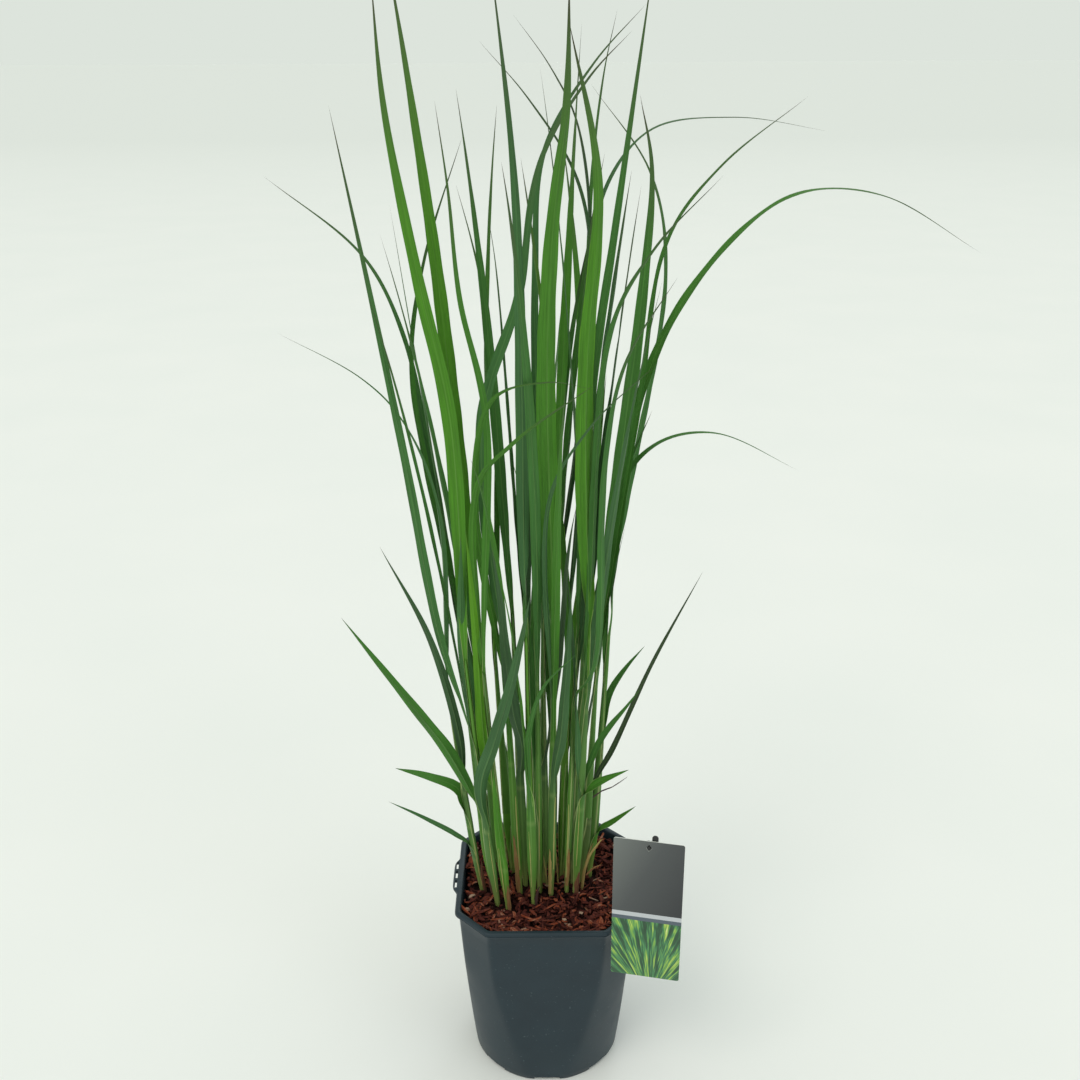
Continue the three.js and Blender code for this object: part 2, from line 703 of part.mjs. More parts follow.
function settle(blades, stems) {
  const ribbons = blades.map(ribbonOf);
  for (let sweep = 0; sweep < SETTLE.sweeps; sweep += 1) {
    blades.forEach((blade, index) => {
      relax(blade);
      ribbons[index] = ribbonOf(blade);
    });
    const boxes = blades.map(boxOf);
    for (let first = 0; first < blades.length; first += 1) {
      stems.forEach((stem, index) => {
        if (index === blades[first].stem) return;
        if (clearStem(blades[first], ribbons[first], stem)) ribbons[first] = ribbonOf(blades[first]);
      });
      for (let second = 0; second < blades.length; second += 1) {
        if (first === second || !boxes[first].intersectsBox(boxes[second])) continue;
        if (!part(blades[first], ribbons[first], blades[second], ribbons[second])) continue;
        ribbons[first] = ribbonOf(blades[first]);
        ribbons[second] = ribbonOf(blades[second]);
      }
    }
  }
}

// ---------------------------------------------------------------- the clump

function makeStems() {
  return STEMS.map((stem) => ({ ...stem, top: CLUMP.soil }));
}

function makeBlades(stems) {
  const blades = PLACED_BLADES.map((blade) => {
    const stem = stems[blade.stem - 1];
    return makeBlade(blade.stem - 1, blade, placedWay(stem, blade));
  });
  const random = seededRandom(RULE.seed);
  const vary = (amount) => 1 + amount * (2 * random() - 1);
  stems.forEach((stem, index) => {
    const [x, y] = [stem.root[0] - CLUMP.x, stem.root[1] - CLUMP.y];
    const outward = Math.atan2(RULE.deepening * y, x) + radians(RULE.turn) * (2 * random() - 1);
    const sideWidth = mix(RULE.leftWidth, 1, ease(...RULE.leftShoots, stem.root[0]));
    for (let place = 0; place < stem.ruled; place += 1) {
      const rule = RULED_BLADES[(3 * index + 2 * place + 1) % RULED_BLADES.length];
      const azimuth = outward + Math.PI * place + radians(RULE.turn) * (2 * random() - 1);
      const inward = place === 1 ? RULE.inward : 1;
      const sideways = mix(1, RULE.sidewaysSpread, Math.abs(Math.cos(azimuth)));
      const blade = {
        collar: CLUMP.soil + rule.collar * vary(RULE.jitter),
        length: rule.length * vary(RULE.jitter),
        spread: rule.spread * inward * sideways * vary(2 * RULE.jitter),
        width: rule.width * vary(RULE.jitter) * sideWidth,
        roll: [RULE.roll * (2 * random() - 1), RULE.roll * (2 * random() - 1)],
        azimuth,
      };
      blades.push(makeBlade(index, blade, ruledWay(stem, blade)));
    }
  });
  return blades;
}

function makeClump() {
  const stems = makeStems();
  const blades = makeBlades(stems);
  blades.forEach((blade) => {
    const stem = stems[blade.stem];
    stem.top = Math.max(stem.top, blade.rows[0].z + STEM.aboveCollar);
  });
  settle(blades, stems);
  const bodies = stems.map((stem, index) => {
    const own = blades.filter((blade) => blade.stem === index).map(bladeBody);
    return wasm.Manifold.union([stemBody(stem), ...own]);
  });
  return { stems, bodies };
}

// ---------------------------------------------------------------- soil and bark

function makeSoil(holes) {
  return potForm(POT.wall + SOIL.clearance, POT.floor, SOIL.top).subtract(holes);
}

function makeMulch(holes) {
  const random = seededRandom(MULCH.seed);
  const { chip, heap } = MULCH;
  const layerTop = MULCH.top - chip.thickness / 2;
  const heapTop = layerTop + heap.height;
  const run = (heap.end - heap.start) / heap.height;
  const depth = heap.height + heap.overrun;
  const dish = frustum(heap.sides, heap.start, heap.start + run * depth, layerTop, layerTop + depth, 0);
  const pieces = [potForm(POT.wall + SOIL.clearance, SOIL.top, heapTop).subtract(dish)];
  const golden = Math.PI * (3 - Math.sqrt(5));
  for (let index = 0; index < MULCH.chips; index += 1) {
    const distance = MULCH.spread * Math.sqrt((index + 0.5) / MULCH.chips);
    const length = chip.length * mix(...MULCH.lengths, random());
    const width = chip.width * mix(...MULCH.widths, random());
    const shape = new THREE.BoxGeometry(length, width, chip.thickness);
    shape.rotateX(chip.tilt * (2 * random() - 1));
    shape.rotateY(chip.pitch * (2 * random() - 1));
    shape.rotateZ(2 * Math.PI * random());
    const [x, y] = [distance * Math.cos(index * golden), distance * Math.sin(index * golden)];
    const rise = clamp((distance - heap.start) / run, 0, heap.height);
    shape.translate(x, y, layerTop + rise + chip.lift * random());
    pieces.push(solid(shape));
  }
  const inside = potForm(POT.wall + 2 * SOIL.clearance, SOIL.top, POT.height);
  const layer = wasm.Manifold.union(pieces).intersect(inside).subtract(holes);
  return largest(layer);
}

function largest(body) {
  const scraps = body.decompose();
  return scraps.reduce((best, scrap) => (scrap.volume() > best.volume() ? scrap : best));
}

// ---------------------------------------------------------------- card and stake

// The card's own frame: the origin is the middle of its top edge, and it faces the front.
function placeOnCard(geometry) {
  geometry.rotateZ(radians(-CARD.yaw));
  geometry.translate(CARD.place.x, CARD.place.y, CARD.place.z);
  return solid(geometry);
}

function diamond(halfWidth, halfHeight, depth, back) {
  const shape = new THREE.Shape();
  shape.moveTo(halfWidth, 0);
  shape.lineTo(0, halfHeight);
  shape.lineTo(-halfWidth, 0);
  shape.lineTo(0, -halfHeight);
  shape.closePath();
  const geometry = new THREE.ExtrudeGeometry(shape, { depth, bevelEnabled: false });
  geometry.rotateX(Math.PI / 2);
  geometry.translate(0, back, -CARD.slotDrop);
  return geometry;
}

function makeCard() {
  const [half, corner] = [CARD.width / 2, CARD.corner];
  const outline = new THREE.Shape();
  outline.moveTo(half - corner, -CARD.height);
  outline.absarc(half - corner, -corner, corner, 0, Math.PI / 2);
  outline.absarc(corner - half, -corner, corner, Math.PI / 2, Math.PI);
  outline.absarc(corner - half, corner - CARD.height, corner, Math.PI, 1.5 * Math.PI);
  outline.absarc(half - corner, corner - CARD.height, corner, 1.5 * Math.PI, 2 * Math.PI);
  outline.closePath();
  const depth = CARD.thickness;
  const { curveSegments } = CARD;
  const geometry = new THREE.ExtrudeGeometry(outline, { depth, bevelEnabled: false, curveSegments });
  geometry.rotateX(Math.PI / 2);
  const slot = diamond(CARD.slotHalf.x, CARD.slotHalf.z, 4 * depth, 2 * depth);
  return placeOnCard(geometry).subtract(placeOnCard(slot));
}

function stakeShaft(extra) {
  const root = new THREE.Vector3(...STAKE.root);
  const head = new THREE.Vector3(...STAKE.shoulder);
  const line = new THREE.Vector3().subVectors(head, root);
  const length = line.length() + extra;
  const shape = new THREE.BoxGeometry(STAKE.width + 2 * extra, STAKE.thickness + 2 * extra, length);
  shape.translate(0, 0, (line.length() - extra) / 2);
  const turn = new THREE.Quaternion().setFromUnitVectors(new THREE.Vector3(0, 0, 1), line.normalize());
  shape.applyQuaternion(turn);
  shape.translate(root.x, root.y, root.z);
  return solid(shape);
}

function makeStake() {
  const { headWidth, headTop, headDrop, thickness, clearance, pegClearance, pegProud } = STAKE;
  const { headRight: right, knobWidth, knobRise, knobCorner } = STAKE;
  const plate = new THREE.Shape();
  plate.moveTo(right - headWidth, -headDrop);
  plate.lineTo(right, -headDrop);
  plate.lineTo(right, knobRise - knobCorner);
  plate.lineTo(right - knobCorner, knobRise);
  plate.lineTo(right - knobWidth + knobCorner, knobRise);
  plate.lineTo(right - knobWidth, knobRise - knobCorner);
  plate.lineTo(right - knobWidth, headTop);
  plate.lineTo(right - headWidth, headTop);
  plate.closePath();
  const head = new THREE.ExtrudeGeometry(plate, { depth: thickness, bevelEnabled: false });
  head.rotateX(Math.PI / 2);
  head.translate(0, clearance + thickness, 0);
  const [halfX, halfZ] = [CARD.slotHalf.x - pegClearance, CARD.slotHalf.z - pegClearance];
  const pegBack = clearance + thickness / 4;
  const peg = diamond(halfX, halfZ, CARD.thickness + pegBack + pegProud, pegBack);
  return stakeShaft(0).add(placeOnCard(head)).add(placeOnCard(peg));
}

// ---------------------------------------------------------------- the whole plant

function makePlant() {
  const { stems, bodies } = makeClump();
  const holeBottom = CLUMP.soil - STEM_HOLE.depth - STEM_HOLE.clearance;
  const holes = stems.map((stem) => stemHole(stem, holeBottom, POT.height));
  const sockets = wasm.Manifold.union([...holes, stakeShaft(STAKE.clearance)]);
  const plant = new THREE.Group();
  plant.add(node("pot", makePot(), FINISHES.pot));
  plant.add(node("soil", makeSoil(sockets), FINISHES.soil));
  plant.add(node("bark_mulch", makeMulch(sockets), FINISHES.bark));
  plant.add(node("label_card", makeCard(), FINISHES.card));
  plant.add(node("label_stake", makeStake(), FINISHES.stake));
  bodies.forEach((body, index) => {
    const name = `tiller_${String(index + 1).padStart(2, "0")}`;
    plant.add(node(name, body, FINISHES.grass));
  });
  return plant;
}

export default makePlant();
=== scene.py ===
"""Switchgrass in its nursery pot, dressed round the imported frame.

Sizes are in millimetres until a mesh is made, and meshes are in metres. +Z is up, -Y is the front
and the origin is the centre of the pot's base. The clump grows by the same rule as the solids do,
so that each fine blade lies where the frame has its plain one.
"""

from __future__ import annotations

import logging
import math
from collections.abc import Callable, Iterator
from contextlib import contextmanager
from dataclasses import dataclass, field
from functools import partial

import bpy
import numpy as np
from mathutils import Matrix, Vector

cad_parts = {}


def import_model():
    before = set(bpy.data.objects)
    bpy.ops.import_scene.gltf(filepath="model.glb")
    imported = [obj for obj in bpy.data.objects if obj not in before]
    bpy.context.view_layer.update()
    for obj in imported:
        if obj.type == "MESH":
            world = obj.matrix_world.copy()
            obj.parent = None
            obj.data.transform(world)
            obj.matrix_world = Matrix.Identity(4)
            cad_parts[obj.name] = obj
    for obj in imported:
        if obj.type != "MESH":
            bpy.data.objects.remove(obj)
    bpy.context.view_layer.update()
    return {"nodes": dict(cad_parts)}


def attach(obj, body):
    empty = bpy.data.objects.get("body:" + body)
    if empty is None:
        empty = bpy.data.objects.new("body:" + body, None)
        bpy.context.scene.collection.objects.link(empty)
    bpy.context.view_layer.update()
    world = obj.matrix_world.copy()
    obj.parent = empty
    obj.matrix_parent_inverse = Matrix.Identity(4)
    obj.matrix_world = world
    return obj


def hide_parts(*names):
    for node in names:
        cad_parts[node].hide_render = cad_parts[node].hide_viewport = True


log = logging.getLogger("switchgrass")

MM = 0.001
# What counts as no distance, in metres or in millimetres.
TINY = 1e-6
# A height above every collar, in millimetres.
SKY = 1e6
BODY = "root"

Points = np.ndarray
Pair = tuple[float, float]
Triple = tuple[float, float, float]
Colour = tuple[float, float, float, float]
Stops = tuple[tuple[float, str], ...]
Piece = bpy.types.Object
Material = bpy.types.Material
Tree = bpy.types.NodeTree
Node = bpy.types.Node
Socket = bpy.types.NodeSocket


# ---------------------------------------------------------------- small tools


def linear(hex_colour: str) -> Colour:
    """Turns an sRGB hex colour into the linear values that shaders take.

    Args:
        hex_colour: The colour as "#rrggbb".

    Returns:
        Red, green, blue and an alpha of 1.
    """
    parts = [int(hex_colour[at : at + 2], 16) / 255 for at in (1, 3, 5)]
    red, green, blue = (c / 12.92 if c <= 0.04045 else ((c + 0.055) / 1.055) ** 2.4 for c in parts)
    return red, green, blue, 1.0


def plug(tree: Tree, node: Node, **inputs) -> None:
    """Sets or links a node's inputs.

    Args:
        tree: The node tree that holds the node.
        node: The node whose inputs are set.
        **inputs: A value, an output socket, or a node whose first enabled output is meant. An input
            goes by its socket's name with _ for a space, or by its number as in_6. From and To
            each take a pair, for the Min and the Max that begin with that word.
    """
    for name in ("From", "To"):
        if name in inputs:
            inputs[name + "_Min"], inputs[name + "_Max"] = inputs.pop(name)
    for name, value in inputs.items():
        socket = node.inputs[int(name[3:]) if name.startswith("in_") else name.replace("_", " ")]
        if isinstance(value, Node):
            value = next(output for output in value.outputs if output.enabled)
        if isinstance(value, Socket):
            tree.links.new(value, socket)
        else:
            socket.default_value = value


def add_node(tree: Tree, kind: str, settings: dict | str | None = None, **inputs) -> Node:
    """Adds one shader node, sets it up and links it.

    Args:
        tree: The node tree that takes the node.
        kind: The node's type, without "ShaderNode" in front.
        settings: Values for the node's own attributes, or only its operation. A colour ramp takes
            its places and hex colours under "stops".
        **inputs: What plug sets or links.

    Returns:
        The new node.
    """
    node = tree.nodes.new("ShaderNode" + kind)
    settings = {"operation": settings} if isinstance(settings, str) else dict(settings or {})
    stops = settings.pop("stops", ())
    for name, value in settings.items():
        setattr(node, name, value)
    for index, (place, colour) in enumerate(stops):
        elements = node.color_ramp.elements
        if index in (0, len(stops) - 1):
            element = elements[-min(index, 1)]
        else:
            element = elements.new(place)
        element.position = place
        element.color = linear(colour)
    plug(tree, node, **inputs)
    return node


def ease(low: float, high: float, value: Points | float) -> Points | float:
    """Rises smoothly from 0 at low to 1 at high."""
    share = np.clip((value - low) / (high - low), 0.0, 1.0)
    return share * share * (3.0 - 2.0 * share)


def mix(a: Points | float, b: Points | float, share: Points | float) -> Points | float:
    """Goes from a to b as share goes from 0 to 1."""
    return a + (b - a) * share


def unit(vectors: Points) -> Points:
    """Scales vectors to a length of 1 along their last axis."""
    return vectors / np.linalg.norm(vectors, axis=-1, keepdims=True)


def dot(a: Points, b: Points) -> Points:
    """Multiplies vectors along their last axis and adds up."""
    return np.sum(a * b, axis=-1)


def along_way(points: Points) -> Points:
    """Gives each point's distance from the first one, measured along them."""
    return np.concatenate([[0.0], np.cumsum(np.linalg.norm(np.diff(points, axis=0), axis=1))])


def around(angle: Points, distance: Points | float, z: Points | float) -> Points:
    """Gives the places at these angles and distances round the upright axis."""
    return np.stack(np.broadcast_arrays(distance * np.cos(angle), distance * np.sin(angle), z), axis=-1)


def softly_least(softness: float, *distances: Points) -> Points:
    """Gives the least of some distances, rounded off where they are about the same."""
    stack = np.stack(np.broadcast_arrays(*distances))
    return -softness * np.log(np.sum(np.exp(-stack / softness), axis=0))


def cubic(start: Points, end: Points, slope_in: Points, slope_out: Points, t: Points) -> Points:
    """Reads the curve that leaves start and reaches end with these slopes, at shares of its way.

    Args:
        start: The point that the curve leaves.
        end: The point that it reaches.
        slope_in: Its slope where it leaves.
        slope_out: Its slope where it arrives.
        t: The shares of its way to read.

    Returns:
        The curve's point at each share.
    """
    rise = end - start
    bend = (3 * rise - 2 * slope_in - slope_out) + t * (slope_in + slope_out - 2 * rise)
    return start + t * (slope_in + t * bend)


def curve_through(values: Points, at: Points) -> Points:
    """Reads a smooth curve through evenly spaced values.

    Args:
        values: One row for each whole number from 0.
        at: The places to read, in rows.

    Returns:
        The curve's value at each place.
    """
    last = len(values) - 1
    low = np.clip(np.floor(at).astype(int), 0, last - 1)
    t = (at - low).reshape(-1, *[1] * (values.ndim - 1))
    before, here, there = values[np.maximum(low - 1, 0)], values[low], values[low + 1]
    after = values[np.minimum(low + 2, last)]
    return cubic(here, there, (there - before) / 2, (after - here) / 2, t)


def select_only(*pieces: Piece) -> None:
    """Selects these objects and nothing else, and makes the first one active.

    Args:
        *pieces: The objects to select.
    """
    bpy.ops.object.select_all(action="DESELECT")
    for piece in pieces:
        piece.select_set(True)
    bpy.context.view_layer.objects.active = pieces[0]


def joined(name: str, pieces: list[Piece]) -> Piece:
    """Joins objects into one and names it.

    Args:
        name: The joined object's name.
        pieces: The objects, of which the first one stays.

    Returns:
        The joined object.
    """
    select_only(*pieces)
    if len(pieces) > 1:
        bpy.ops.object.join()
    pieces[0].name = pieces[0].data.name = name
    return pieces[0]


def apply_modifiers(piece: Piece) -> None:
    """Applies all of an object's modifiers in their order.

    Args:
        piece: The object.
    """
    select_only(piece)
    for modifier in list(piece.modifiers):
        bpy.ops.object.modifier_apply(modifier=modifier.name)


def rounded(piece: Piece, width: float, segments: int) -> None:
    """Rounds an object's edges by a width in millimetres, after its other modifiers.

    Args:
        piece: The object.
        width: The rounding's width, in millimetres.
        segments: How many steps the rounding takes.
    """
    bevel = piece.modifiers.new("rounded", "BEVEL")
    bevel.width = width * MM
    bevel.segments = segments
    apply_modifiers(piece)


def block(size: Triple) -> Piece:
    """Adds a block of this size in millimetres round the origin.

    Args:
        size: Its extent along X, Y and Z.

    Returns:
        The block.
    """
    bpy.ops.mesh.primitive_cube_add(size=1.0)
    piece = bpy.context.object
    piece.data.transform(Matrix.Diagonal((*(value * MM for value in size), 1.0)))
    return piece


def copy_at(piece: Piece, place: Matrix) -> Piece:
    """Copies an object with its mesh, which is moved by a matrix in metres.

    Args:
        piece: The object to copy.
        place: What moves the copy's mesh.

    Returns:
        The copy.
    """
    copy = piece.copy()
    copy.data = piece.data.copy()
    copy.data.transform(place)
    bpy.context.collection.objects.link(copy)
    return copy


@contextmanager
def editing() -> Iterator[None]:
    """Holds the active object in edit mode with all of its mesh selected."""
    bpy.ops.object.mode_set(mode="EDIT")
    bpy.ops.mesh.select_all(action="SELECT")
    yield
    bpy.ops.object.mode_set(mode="OBJECT")


def smooth(piece: Piece, angle: float) -> None:
    """Shades an object smooth, with edges sharper than the angle in degrees left sharp."""
    select_only(piece)
    bpy.ops.object.shade_smooth_by_angle(angle=math.radians(angle))


def dress(piece: Piece, *materials: Material) -> None:
    """Gives an object these materials in place of its own.

    Args:
        piece: The object.
        *materials: Its materials, in the order of its slots.
    """
    piece.data.materials.clear()
    for material in materials:
        piece.data.materials.append(material)


def vertices_of(piece: Piece) -> Points:
    """Reads the places of a mesh's vertices, in metres.

    Args:
        piece: The object.

    Returns:
        A place for each vertex.
    """
    flat = np.empty(3 * len(piece.data.vertices), np.float32)
    piece.data.vertices.foreach_get("co", flat)
    return flat.reshape(-1, 3)


def write_attribute(piece: Piece, name: str, values: Points) -> None:
    """Stores one number, or one vector, for each vertex of a mesh.

    Args:
        piece: The object.
        name: The attribute's name.
        values: A number or a vector for each vertex.
    """
    kind, key = ("FLOAT", "value") if values.ndim == 1 else ("FLOAT_VECTOR", "vector")
    attribute = piece.data.attributes.new(name, kind, "POINT")
    attribute.data.foreach_set(key, values.astype(np.float32).ravel())


def sheet_of(name: str, points: Points, **attributes: Points | float) -> Piece:
    """Lays a grid over a surface, welds it where it meets itself and turns its faces outwards.

    Args:
        name: The object's name.
        points: Places in millimetres, by row and column.
        **attributes: Numbers to store for each place, by row and column, for each row or for all.

    Returns:
        The object, with its mesh in metres.
    """
    rows, columns = points.shape[0] - 1, points.shape[1] - 1
    bpy.ops.mesh.primitive_grid_add(x_subdivisions=columns, y_subdivisions=rows, size=1.0)
    piece = bpy.context.object
    piece.name = piece.data.name = name
    flat = vertices_of(piece)
    column = np.rint((flat[:, 0] + 0.5) * columns).astype(int)
    row = np.rint((flat[:, 1] + 0.5) * rows).astype(int)
    piece.data.vertices.foreach_set("co", (points[row, column] * MM).astype(np.float32).ravel())
    for key, values in attributes.items():
        write_attribute(piece, key, np.broadcast_to(values, points.shape[:2])[row, column])
    with editing():
        bpy.ops.mesh.remove_doubles(threshold=TINY)
        bpy.ops.mesh.normals_make_consistent(inside=False)
    return piece


@dataclass
class Draws:
    """A small seeded generator, so that every run makes the same plant."""

    state: int
    factor: int = 16807
    modulus: int = 2147483647

    def share(self) -> float:
        """Draws a number from 0 to 1."""
        self.state = self.state * self.factor % self.modulus
        return self.state / self.modulus

    def swing(self, reach: float) -> float:
        """Draws a number from -reach to reach."""
        return reach * (2 * self.share() - 1)

    def vary(self, amount: float) -> float:
        """Draws a factor within amount of 1."""
        return 1 + self.swing(amount)


# ---------------------------------------------------------------- how the clump grows


@dataclass(frozen=True)
class Growth:
    """The measures that the whole clump shares."""

    centre: Pair = (-8.0, 2.0)
    soil: float = 176.0
    fan_rise: float = 280.0
    fan: Pair = (0.56, 0.62)
    fan_right: float = 0.36
    drift: float = -2.0
    fan_curve: float = 0.85
    stem_radius: float = 3.1
    stem_top_radius: float = 1.4
    stem_taper: float = 1.5
    above_collar: float = 6.0
    sunk: float = 34.0
    fold: Pair = (0.3, 0.12)
    base_width: float = 0.42
    swell_end: float = 0.3
    taper: float = 2.2
    point: float = 1.05
    guide: float = 40.0
    way_steps: int = 60
    segment_length: float = 85.0
    segment_turn: float = 0.3
    segments: tuple[int, int] = (4, 12)


@dataclass(frozen=True)
class Rule:
    """How the blades grow that are not placed one by one."""

    seed: int = 2025
    # The leftmost shoots have narrower leaves: how much, and between which places.
    left_width: float = 0.62
    left_shoots: Pair = (-50.0, -20.0)
    sideways_spread: float = 0.15
    deepening: float = 1.8
    turn: float = 35.0
    jitter: float = 0.14
    roll: float = 90.0
    inward: float = 0.6
    start_bend: float = 4.0
    curl: float = 1.7
    lean_over: float = 20.0
    # Collar above the soil, length, spread in degrees and width.
    ranks: tuple[tuple[float, float, float, float], ...] = (
        (110, 280, 46, 9),
        (170, 380, 44, 10),
        (215, 450, 38, 11),
        (255, 460, 24, 11),
    )


GROWTH = Growth()
RULE = Rule()

# Each stem's place at the soil, and how many blades grow on it by rule.
STEMS = (
    ((-61, -6), 0),
    ((-46, -24), 0),
    ((-36, -29), 0),
    ((-42, 6), 1),
    ((-25, -7), 1),
    ((-12, -22), 1),
    ((-20, 6), 1),
    ((-6, -5), 2),
    ((5, -9), 2),
    ((15, 16), 3),
    ((20, -4), 3),
    ((28, -7), 2),
    ((35, 8), 0),
    ((43, 20), 0),
    ((-51, 18), 1),
    ((-33, 26), 1),
    ((-12, 28), 2),
    ((6, 33), 3),
    ((27, 32), 2),
    ((-2, 11), 3),
    ((-50, -9), 1),
    ((26, 9), 3),
)

# Blades placed one by one: the stem, the collar's height, the widest width, how far the face is
# rolled at the collar and at the tip, and the way from above the collar to the tip.
PLACED_BLADES = (
    (2, 350, 9, (60, 80), (-90, -34, 462), (-112, -39, 626), (-131, -47, 761), (-151, -55, 893)),
    (2, 440, 15, (-70, -60), (-76, -20, 653), (-98, -12, 766), (-119, -1, 891), (-125, 10, 982)),
    (3, 290, 12, (80, 60), (-54, -36, 356), (-57, -43, 440), (-61, -50, 520), (-64, -56, 572)),
    (2, 320, 15, (25, 40), (-64, -27, 376), (-67, -31, 415), (-71, -36, 470), (-69, -42, 560)),
    (4, 430, 16, (-15, -25), (-84, 18, 745), (-101, 29, 890), (-112, 44, 964), (-119, 60, 999)),
    (3, 430, 8, (-75, -60), (-44, -28, 655), (-64, -26, 754), (-71, -23, 833), (-79, -20, 895)),
    (4, 360, 9, (50, 35), (-102, 19, 606), (-111, 33, 691), (-99, 50, 767), (-65, 70, 865)),
    (16, 400, 7, (10, 0), (-42, 48, 651), (-52, 59, 746), (-61, 74, 784), (-73, 90, 825)),
    (17, 390, 6, (35, 20), (-31, 50, 650), (-40, 76, 759), (-47, 110, 797)),
    (15, 380, 7, (-15, -35), (-99, 40, 608), (-119, 56, 707), (-152, 77, 768), (-236, 100, 832)),
    (1, 400, 8, (50, 20), (-90, -10, 575), (-116, -10, 650), (-147, -10, 685), (-211, -10, 722)),
    (1, 290, 9, (60, 40), (-77, -18, 352), (-98, -36, 463), (-133, -60, 560)),
    (21, 262, 13, (55, 60), (-86, -30, 345), (-108, -56, 401), (-163, -90, 511)),
    (1, 252, 12, (-30, -35), (-80, -8, 292), (-108, -4, 304), (-143, 20, 298)),
    (1, 214, 6, (-35, -40), (-80, -9, 238), (-113, -10, 262), (-145, -20, 288)),
    (6, 460, 12, (70, 90), (-17, -33, 673), (-21, -38, 837), (-33, -43, 960), (-37, -50, 990)),
    (5, 430, 12, (70, 60), (-50, -16, 650), (-18, -13, 752), (0, -14, 851), (36, -17, 910), (66, -20, 941)),
    (9, 450, 20, (20, 15), (2, -30, 700), (7, -42, 810), (16, -62, 891), (17, -90, 975)),
    (12, 450, 19, (60, 55), (36, -18, 700), (41, -30, 840), (18, -50, 947)),
    (18, 450, 7, (60, 60), (38, 43, 737), (28, 48, 870), (7, 53, 914), (-23, 60, 954)),
    (10, 440, 7, (60, 50), (36, 24, 740), (23, 23, 833), (-13, 22, 892), (-51, 20, 935)),
    (11, 440, 10, (70, 90), (37, -12, 667), (54, -14, 801), (68, -17, 910), (78, -20, 989)),
    (20, 450, 8, (60, 50), (-7, 22, 757), (1, 32, 856), (38, 45, 917), (80, 60, 961)),
    (19, 450, 8, (60, 60), (38, 56, 815), (48, 84, 906), (61, 120, 959)),
    (13, 440, 16, (65, 60), (66, 19, 626), (79, 24, 743), (85, 32, 842), (75, 40, 896)),
    (14, 430, 11, (60, 0), (81, 34, 654), (127, 39, 754), (198, 46, 818), (272, 53, 819), (365, 60, 770)),
    (19, 420, 8, (60, 0), (36, 52, 740), (46, 56, 822), (84, 72, 868), (157, 89, 877), (242, 110, 864)),
    (13, 390, 8, (60, 50), (79, 10, 660), (97, 2, 792), (134, -9, 847), (193, -20, 896)),
    (12, 400, 9, (-20, -30), (50, -19, 721), (80, -41, 789), (126, -70, 846)),
    (19, 350, 9, (45, 45), (76, 52, 576), (102, 62, 759), (88, 75, 835), (39, 90, 903)),
    (11, 380, 8, (-20, -30), (45, -22, 628), (61, -38, 706), (97, -60, 774)),
    (14, 380, 8, (40, 0), (66, 39, 571), (98, 53, 608), (152, 70, 613), (235, 90, 570)),
    (22, 390, 7, (60, 60), (69, 18, 587), (91, 10, 651)),
    (9, 380, 6, (-10, -20), (3, -35, 589), (35, -59, 659), (83, -90, 717)),
    (13, 245, 6, (60, 60), (46, 11, 287), (62, 8, 324), (96, 0, 420), (136, -10, 515)),
    (14, 318, 9, (30, 20), (60, 34, 368), (74, 42, 390), (94, 50, 412)),
    (12, 272, 10, (65, 60), (43, -16, 300), (52, -26, 314), (74, -44, 337)),
    (14, 205, 8, (50, 45), (55, 20, 228), (65, 17, 238), (86, 8, 262)),
    (5, 400, 8, (-5, -40), (-57, -28, 587), (-40, -47, 679), (3, -72, 700), (36, -100, 702)),
    (3, 400, 8, (-5, -40), (-55, -49, 601), (-23, -84, 654), (34, -130, 710)),
    (
        2, 262, 15, (-20, -25), (-57, -38, 320), (-44, -52, 372), (-30, -62, 427),
        (-20, -72, 476), (-11, -86, 530),
    ),
    (6, 270, 6, (-5, -20), (-19, -39, 363), (-6, -74, 436), (23, -120, 495)),
    (
        7, 285, 15, (-5, 0), (-20, -24, 352), (-26, -34, 386), (-33, -42, 453),
        (-36, -50, 500), (-42, -63, 558),
    ),
    (9, 290, 12, (-60, -50), (9, -22, 330), (13, -28, 356), (17, -34, 413), (20, -38, 466), (22, -42, 514)),
    (12, 285, 8, (60, 60), (46, -4, 332), (57, -8, 357), (72, -16, 384), (84, -22, 407)),
    (3, 222, 9, (55, 45), (-44, -44, 290), (-47, -50, 344)),
    (16, 218, 9, (20, 15), (-36, 34, 262), (-38, 40, 314)),
)


# The green of each placed blade, from 0 for purplish through grey, blue and leaf green to 1 for yellow.
SHADES = (
    (0.45, 0.66, 0.84, 0.42, 0.68, 0.5, 0.46, 0.5, 0.36, 0.36, 0.42, 0.28)
    + (0.56, 0.46, 0.3, 0.38, 0.34, 0.68, 0.76, 0.24, 0.3, 0.4, 0.32, 0.46)
    + (0.44, 0.5, 0.26, 0.44, 0.5, 0.38, 0.48, 0.44, 0.42, 0.36, 0.08, 0.42)
    + (0.52, 0.6, 0.64, 0.66, 0.34, 0.52, 0.28, 0.32, 0.42, 0.7, 0.62)
)


def stem_axis(root: Points, z: Points | float) -> Points:
    """Gives the middle of a stem at each height.

    Args:
        root: Where the stem comes out of the soil, or one such place for each row of heights.
        z: The heights.

    Returns:
        A place for each height.
    """
    root, z = np.asarray(root, float), np.asarray(z, float)
    lean = (np.maximum(0.0, z - GROWTH.soil) / GROWTH.fan_rise) ** GROWTH.fan_curve
    x, y = root[..., 0], root[..., 1]
    away = x - GROWTH.centre[0]
    out_x = away * np.where(away > 0, GROWTH.fan_right, GROWTH.fan[0]) + GROWTH.drift
    out_y = (y - GROWTH.centre[1]) * GROWTH.fan[1]
    return np.stack([x + out_x * lean, y + out_y * lean, z], axis=-1)


